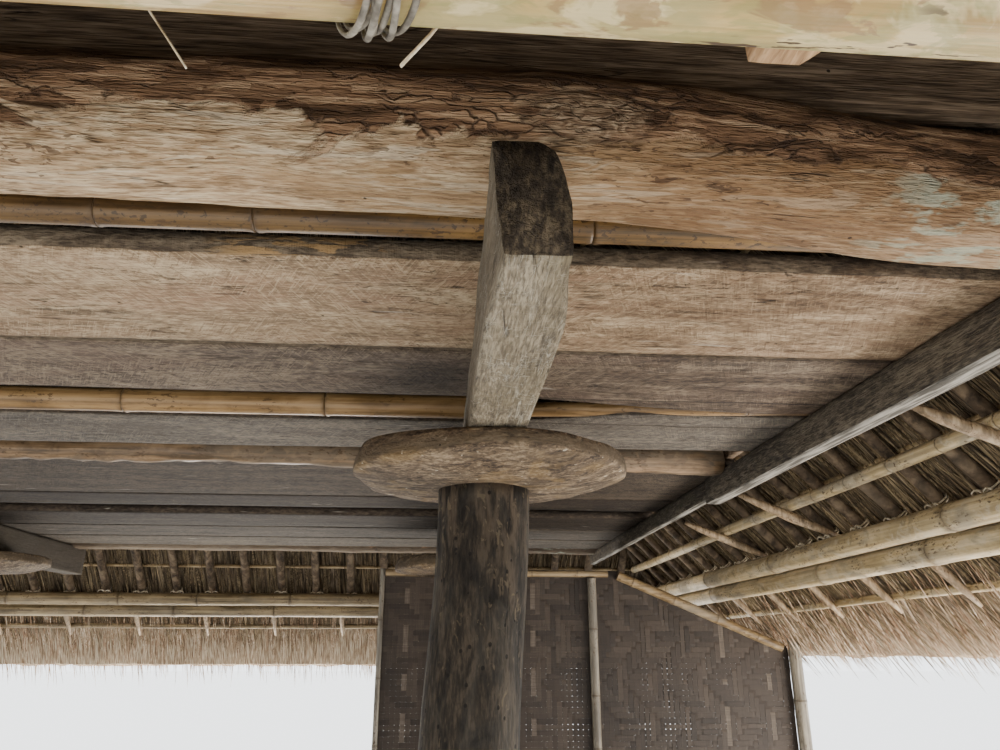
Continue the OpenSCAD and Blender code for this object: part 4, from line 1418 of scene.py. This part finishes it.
# %% [markdown]
# ## Thatch
# Dry straw is laid in courses. Seen from outside it is a thick skin with soft steps, seen from
# below it is a dense bed of stalks, and at the eave the stalks end in a ragged fringe. A lumpy
# slab gives the bulk, and a tree strews stalks over it: points on the faces, a thin stalk on each,
# pointed down the slope with a little disorder.

# %% Thatch finish
def straw_finish(name, tones):
    """Finish and colour of straw, its fine strands, and the function that draws strands."""
    f = Finish(name, rough=0.8, gloss=0.2)
    # Stalks run down the slope, so the fine grain is across X in front and across Y at the sides
    turned = f.add("ShaderNodeNewGeometry").outputs["Normal"]
    sideways = f.math("ABSOLUTE", f.add("ShaderNodeSeparateXYZ", {"Vector": turned}).outputs["X"])
    sideways = f.between(sideways, 0.3, 0.4)

    def strands(wide, long, detail, warp):
        ends = f.noise((wide, long, long), detail, warp)
        sides = f.noise((long, wide, long), detail, warp)
        return f.total((sides, sideways), (ends, f.minus(1.0, sideways)))

    fine = strands(100, 5, 5, 0.3)
    broad = strands(11, 3.5, 6, 0.4)
    base = f.tones(f.total((fine, 0.65), (broad, 0.35)),
                   zip((0.38, 0.47, 0.55, 0.63), tones))
    return f, base, fine, strands


f, base, fine, strands = straw_finish("thatch", ("#2e271e", "#574a3b", "#7e6e59", "#a6967f"))
streak = strands(160, 9, 4, 0.3)
height = f.total((fine, 1), (streak, 0.7))
# The inner face near the eave is painted pale: painted light where daylight shines through the
# thin straw there; at each step outside the cut ends are dark
painted_eave_glow = f.times(f.between(f.axis("Z"), 1.85, 1.65), f.facing("Z", 0.0, -0.3))
base = f.blend(f.times(painted_eave_glow, 0.7), base, f.tones(
    streak, [(0.4, "#8a7056"), (0.5, "#c2a788"), (0.6, "#ecdcc0")]))
thatch_skin = f.finish(base, height, 0.03, 1.0)


def stalk_finish(name, tones):
    """Finish of single stalks, which are too thin to show any relief."""
    f, base, _, _ = straw_finish(name, tones)
    return f.finish(base)


# The fringe's stalks are paler than the rest: partly dry straw's own tone, partly painted light
# where daylight shines through the thin fringe
straw = stalk_finish("straw", ("#604634", "#aa8a6e", "#dac2a6", "#f6ead8"))
under_straw = stalk_finish("under_straw", ("#42372a", "#6b5c46", "#8c7b5e", "#af9b7a"))
outer_straw = stalk_finish("outer_straw", ("#4a3f33", "#7d6d5a", "#a39480", "#c9bca7"))
f, base, fine, _ = straw_finish("cap_thatch", ("#3a3024", "#635340", "#86745e", "#a8967c"))
cap_finish = f.finish(base, fine, 0.03, 1.0)


# %% Rows of the roof's outside, with the courses of the frame
values = spots[:, 0] + spots[:, 2]
edges_z = sorted({round(float(z), 4) for z in spots[np.abs(values - thatch_out) < 1e-3][:, 2]})
course_edges = [z for z in edges_z if z < thatch_out - 0.05]
step_z = course_edges[1] - course_edges[0]
at_second = np.abs(spots[:, 2] - course_edges[1]) < 1e-3
course_in = thatch_out - float(np.sort(np.unique(np.round(values[at_second], 4)))[-2])
print("courses", len(course_edges) - 1, "each", round(step_z, 3), "m high, standing out",
      round(course_in * SLOPE, 3), "m")


def course_rows(parts=5):
    """(height, plane) pairs up the outside, in and out with the courses."""
    rows = []
    for z in course_edges[:-1]:
        rows += [(z, thatch_out - 0.022), (z + 0.012, thatch_out)]
        rows += [(z + step_z * t, thatch_out - course_in * t)
                 for t in np.linspace(0, 1, parts)[1:]]
    top = course_edges[-1]
    return rows + [(z, thatch_out) for z in np.linspace(top, thatch_out - 0.02, 4)]


def on_slope(side, u, run):
    """Point at u along an eave (-1 to 1 between the hips) and plan distance run from its ridge."""
    half = run + (ridge_half if side in ("left", "right") else 0.0)
    shift = ridge_half if side in ("front", "back") else 0.0
    x, y = u * half, -(run + shift)
    for _ in range(EAVES.index(side)):
        x, y = -y, x
    return x, y


def slope_grid(side, rows, count, seed, lump):
    """Grid of points over (height, plane) rows of one slope, pushed in and out."""
    grid = np.array([[(*on_slope(side, u, plane - z), z) for u in np.linspace(-1, 1, count)]
                     for z, plane in rows])
    flat = grid.reshape(-1, 3)
    out = np.array([*on_slope(side, 0, 1.0), 0]) - np.array([*on_slope(side, 0, 0.0), 0])
    normal = (out / np.linalg.norm(out) + [0, 0, 1]) * SLOPE
    push = field(flat, seed, 0.15) * lump + field(flat, seed + 1, 0.6) * lump
    edge = np.minimum(1, (1 - np.abs(np.tile(np.linspace(-1, 1, count), len(rows)))) * 12)
    return (flat + normal * (push * edge)[:, None]).reshape(grid.shape)


def thatch_slab(side, seed):
    """Closed slab between the outer and inner planes of one slope."""
    count = 110
    rows = course_rows()
    outer = slope_grid(side, rows, count, seed, 0.007)
    starts = [i for i, row in enumerate(rows[:-4]) if i % 6 == 0]
    for i in starts:
        outer[i:i + 2, :, 2] += field(outer[i], seed + 3, 0.09) * 0.024
    # The inside has the same heights, which never turn back
    inner = slope_grid(side, [(min(z, thatch_in - 0.01), thatch_in) for z, _ in rows], count,
                       seed + 5, 0.005)
    inner[0, :, 2] += field(inner[0], seed + 4, 0.05) * 0.012 + 0.01
    if side == "back":
        drop = 0.1 * (1 - np.linspace(-1, 1, count) ** 8)
        outer[:2, :, 2] -= drop
        inner[:2, :, 2] -= drop
    rings = np.concatenate([outer, inner[:, ::-1]], axis=1)
    count_v, wide = rings.shape[:2]
    points = rings.reshape(-1, 3)
    faces = side_quads(count_v, wide)
    for row, flip in ((0, True), (count_v - 1, False)):
        for i in range(count - 1):
            a, b = row * wide + i, row * wide + i + 1
            c, d = row * wide + wide - 2 - i, row * wide + wide - 1 - i
            faces.append([a, d, c, b] if flip else [a, b, c, d])
    return points, faces


for seed, side in enumerate(EAVES, 200):
    piece("visual_thatch_" + side, thatch_slab(side, seed * 3), thatch_skin,
          ["thatch_" + side])
print("thatch slab", triangles["visual_thatch_front"])

# %% Straw tree
def strewer(name):
    """Geometry Nodes tree: stalks strewn over faces, pointed along 'aim' with some disorder."""
    tree, given = new_tree(name, (
        ("Geometry", "Geometry"), ("Stalk", "Object"), ("Density", "Float"),
        ("Shortest", "Float"), ("Longest", "Float"), ("Width", "Float"), ("Disorder", "Float"),
        ("Sink", "Float"), ("Seed", "Int"), ("Finish", "Material")))

    def scaled(vector, scale):
        return add_node(tree, "ShaderNodeVectorMath", {0: vector, "Scale": scale},
                        operation="SCALE").outputs[0]

    spread = add_node(tree, "GeometryNodeDistributePointsOnFaces", {
        "Mesh": given["Geometry"], "Density": given["Density"], "Seed": given["Seed"]})
    # Points move along the face's normal, so that stalks lie in several layers
    sink = random_value(tree, {2: given["Sink"], 3: 0.0, "Seed": given["Seed"]})
    moved = add_node(tree, "GeometryNodeSetPosition", {
        "Geometry": spread.outputs["Points"], "Offset": scaled(spread.outputs["Normal"], sink)})
    stray = random_value(tree, {0: (-1, -1, -1), 1: (1, 1, 1), "Seed": given["Seed"]},
                         "FLOAT_VECTOR")
    towards = add_node(tree, "ShaderNodeVectorMath", {
        0: kept_value(tree, "aim"), 1: scaled(stray, given["Disorder"])}, operation="ADD")
    spin = random_value(tree, {3: ANY_WAY})
    length = random_value(tree, {2: given["Shortest"], 3: given["Longest"]})
    size = add_node(tree, "ShaderNodeCombineXYZ",
                    {0: given["Width"], 1: given["Width"], 2: length})
    set_on_points(tree, moved.outputs[0], given["Stalk"], towards.outputs[0], spin,
                  size.outputs[0], given["Finish"])
    return tree


STREWER = strewer("strew_stalks")
# A stalk is a three-sided sliver with two bends and a point, a metre long before it is scaled
bent = [(0.7, 0.0, 0.0), (1.0, 1.2, 0.4), (0.7, 0.9, 0.75)]
rings = [ring_at(around(3), r, h) + [b, 0, 0] for r, b, h in bent]
walls = [(k + i, k + (i + 1) % 3, k + (i + 1) % 3 + 3, k + i + 3)
         for k in (0, 3) for i in range(3)]
tip = [(6 + i, 6 + (i + 1) % 3, 9) for i in range(3)]
stalk = pattern_shape("stalk", (np.vstack(rings + [[(-1.6, 0, 1)]]), [(2, 1, 0)] + walls + tip))
print("stalk", len(stalk.data.polygons), "faces")


# %% Straws along the eaves and over the roof
def band_mesh(name, side, rows, droop):
    """Strip of a slope over (height, plane) rows, with the downhill direction kept as 'aim'."""
    count = 25
    points = [(*on_slope(side, u, plane - z), z) for z, plane in rows
              for u in np.linspace(-1, 1, count)]
    faces = [(r * count + i, r * count + i + 1, (r + 1) * count + i + 1, (r + 1) * count + i)
             for r in range(len(rows) - 1) for i in range(count - 1)]
    mesh = bpy.data.meshes.new(name)
    mesh.from_pydata(points, [], faces)
    x, y = np.array(on_slope(side, 0, 1.0)) - np.array(on_slope(side, 0, 0.0))
    attribute = mesh.attributes.new("aim", "FLOAT_VECTOR", "POINT")
    aim = [x * SLOPE, y * SLOPE, -SLOPE - droop]
    attribute.data.foreach_set("vector", np.tile(aim, len(points)))
    return mesh


def strewn(name, side, rows, density, lengths, disorder, seed, finish, *, width, sink,
           droop=0.0):
    """Stalks strewn over one slope's strip, that many to a square metre."""
    return run_tree(name, band_mesh(name, side, rows, droop), STREWER, {
        "Stalk": stalk, "Density": float(density), "Shortest": lengths[0], "Longest": lengths[1],
        "Width": width, "Disorder": disorder, "Sink": sink, "Seed": seed, "Finish": finish,
    }, smooth=False)


for number, side in enumerate(EAVES):
    lower = 0.16 if side == "back" else 0.0
    strewn("visual_fringe_" + side, side,
           [(eave_z + 0.13 - lower, thatch_in), (eave_z + 0.46, thatch_in)],
           1000, (0.2, 0.34), 0.11, 60 + number, straw, width=0.003, sink=0.13, droop=0.5)
    strewn("visual_under_straw_" + side, side,
           [(eave_z + 0.3, thatch_in), (eave_z + 1.35, thatch_in)],
           290, (0.3, 0.6), 0.09, 70 + number, under_straw, width=0.0034, sink=-0.02)
    strewn("visual_cover_straw_" + side, side,
           [row for row in course_rows(2)[:-4] if row[0] > eave_z + 0.19], 72, (0.25, 0.45), 0.03,
           80 + number, outer_straw, width=0.003, sink=0.004)
    strewn("visual_eave_straw_" + side, side,
           [(eave_z + 0.03, thatch_out - 0.03), (eave_z + 0.26, thatch_out - 0.03)],
           230, (0.12, 0.26), 0.1, 90 + number, outer_straw, width=0.003, sink=-0.03, droop=0.2)
print("straw", {k: v for k, v in triangles.items() if "fringe" in k or "straw" in k})

# %% Ridge cap
low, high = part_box("ridge_cap")
cap_node = node_points("ridge_cap")
cap_plane = float((cap_node[:, 0] + cap_node[:, 2]).max())
cap_rows = []
for z in np.linspace(float(low.z), cap_plane - 0.03, 12):
    run = cap_plane - z
    ring = []
    for side in EAVES:
        for u in np.linspace(-1, 1, 20, endpoint=False):
            x, y = on_slope(side, u, run)
            ring.append((x, y, z))
    ring = np.array(ring)
    push = field(ring, 300, 0.08) * 0.012
    ring[:, :2] *= (1 + push / np.maximum(np.linalg.norm(ring[:, :2], axis=1), 0.1))[:, None]
    cap_rows.append(ring)
piece("visual_ridge_cap", skin(cap_rows), cap_finish, ["ridge_cap"])
print("cap", triangles["visual_ridge_cap"])

# %% [markdown]
# ## Woven wall
# The wall is plaited from split bamboo, each strip over four and under four, stepped by one from
# strip to strip, which gives the herringbone. Flat strips are set side by side, and one rule moves
# every crossing in or out.

# %% Woven wall
PITCH = 0.033
wall_low, wall_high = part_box("woven_wall")
wall_spots = node_points("woven_wall")
corner_top = float(wall_spots[wall_spots[:, 0] > wall_high.x - 1e-3][:, 2].max())
knee_x = float(wall_spots[wall_spots[:, 2] > wall_high.z - 1e-3][:, 0].max())


def wall_top_at(x):
    t = np.clip((x - knee_x) / (wall_high.x - knee_x), 0, 1)
    return wall_high.z + (corner_top - wall_high.z) * t


def strip(points, flat):
    """Thin split strip through points, flat is its half width vector."""
    out = np.array([0, 0.0012, 0])
    rings = [[p - flat - out, p + flat - out, p + flat + out, p - flat + out] for p in points]
    if flat[2] > 0:
        rings = [r[::-1] for r in rings]
    return skin(np.array(rings))


def weave():
    """Strips up and across, each over four and under four, with the step turned every eight."""
    rng = np.random.default_rng(12)
    middle = (wall_low.y + wall_high.y) / 2
    columns = int((wall_high.x - wall_low.x) / PITCH)
    rows = int((wall_high.z - wall_low.z) / PITCH)

    def across_in_front(i, j):
        shift = j % 16 if j % 16 < 8 else 16 - j % 16
        return (i + shift) % 8 < 4

    def turning(path):
        """Keeps the points where the strip changes sides, and both ends."""
        return [p for k, p in enumerate(path) if k in (0, len(path) - 1)
                or path[k - 1][1] != p[1] or path[k + 1][1] != p[1]]

    def half_widths(count):
        """Half width of each strip; here and there two or three neighbours are narrow."""
        wide = rng.uniform(0.474, 0.494, count)
        for start in rng.choice(count, max(2, count // 16), replace=False):
            wide[start:start + rng.integers(1, 4)] = rng.uniform(0.38, 0.43)
        return wide * PITCH

    def strip_tone():
        return 0.74 if rng.random() < 0.04 else rng.uniform(0.1, 0.5)

    parts, tones = [], []
    half_x, half_z = half_widths(columns), half_widths(rows)
    for i in range(columns):
        x = wall_low.x + (i + 0.5) * PITCH
        top = wall_top_at(x)
        path = turning([(x + rng.uniform(-1, 1) * 0.0008,
                         middle + (0.0022 if across_in_front(i, j) else -0.0022),
                         wall_low.z + (j + 0.5) * PITCH)
                        for j in range(int((top - wall_low.z) / PITCH))])
        path.append((x, middle, top - 0.002))
        parts.append(strip(np.array(path), np.array([half_x[i], 0, 0])))
        tones.append(strip_tone())
    for j in range(rows):
        z = wall_low.z + (j + 0.5) * PITCH
        path = []
        for i in range(columns):
            x = wall_low.x + (i + 0.5) * PITCH
            if wall_top_at(x) < z + PITCH / 2:
                break
            path.append((x, middle + (-0.0022 if across_in_front(i, j) else 0.0022),
                         z + rng.uniform(-1, 1) * 0.0008))
        if len(path) > 2:
            parts.append(strip(np.array(turning(path)), np.array([0, 0, half_z[j]])))
            tones.append(strip_tone())
    return joined(parts), np.repeat(tones, [len(p[0]) for p in parts])


def weave_finish():
    f = Finish("woven_bamboo", rough=0.6, gloss=0.35)
    warp = f.noise((260, 30, 7), 4)
    weft = f.noise((7, 30, 260), 4)
    tone = f.total((warp, 0.5), (weft, 0.5))
    base = f.tones(f.total((tone, 0.5), (f.tag("tone"), 0.5)),
                   [(0.25, "#241d18"), (0.42, "#382f27"), (0.58, "#4f443a"), (0.72, "#786d60")])
    broad = f.between(f.noise((2, 2, 2), 4), 0.4, 0.65, (0, 0.5))
    base = f.blend(broad, base, paint("#463a30"))
    return f.finish(base, tone, 0.001)


shape, tones = weave()
wall = piece("visual_woven_wall", shape, weave_finish(), ["woven_wall"],
             smooth=False)
tag_points(wall.data, "tone", tones)
print("weave", triangles["visual_woven_wall"])

# %% Wall posts and rails
for number, (node, gap, finish) in enumerate((
        ("wall_posts", 0.36, wall_bamboo), ("wall_rails", 0.33, rail_bamboo))):
    row = stems(poles_found[node], 61 + number, gap=gap, bow=0.002)
    bamboo_run("visual_" + node, row, stem_wide, 5 + number, finish, [node])
print("wall poles", triangles["visual_wall_posts"] + triangles["visual_wall_rails"])

# %% Sizes and end
print("triangles", sum(triangles.values()), "largest", max(triangles.items(), key=lambda t: t[1]))
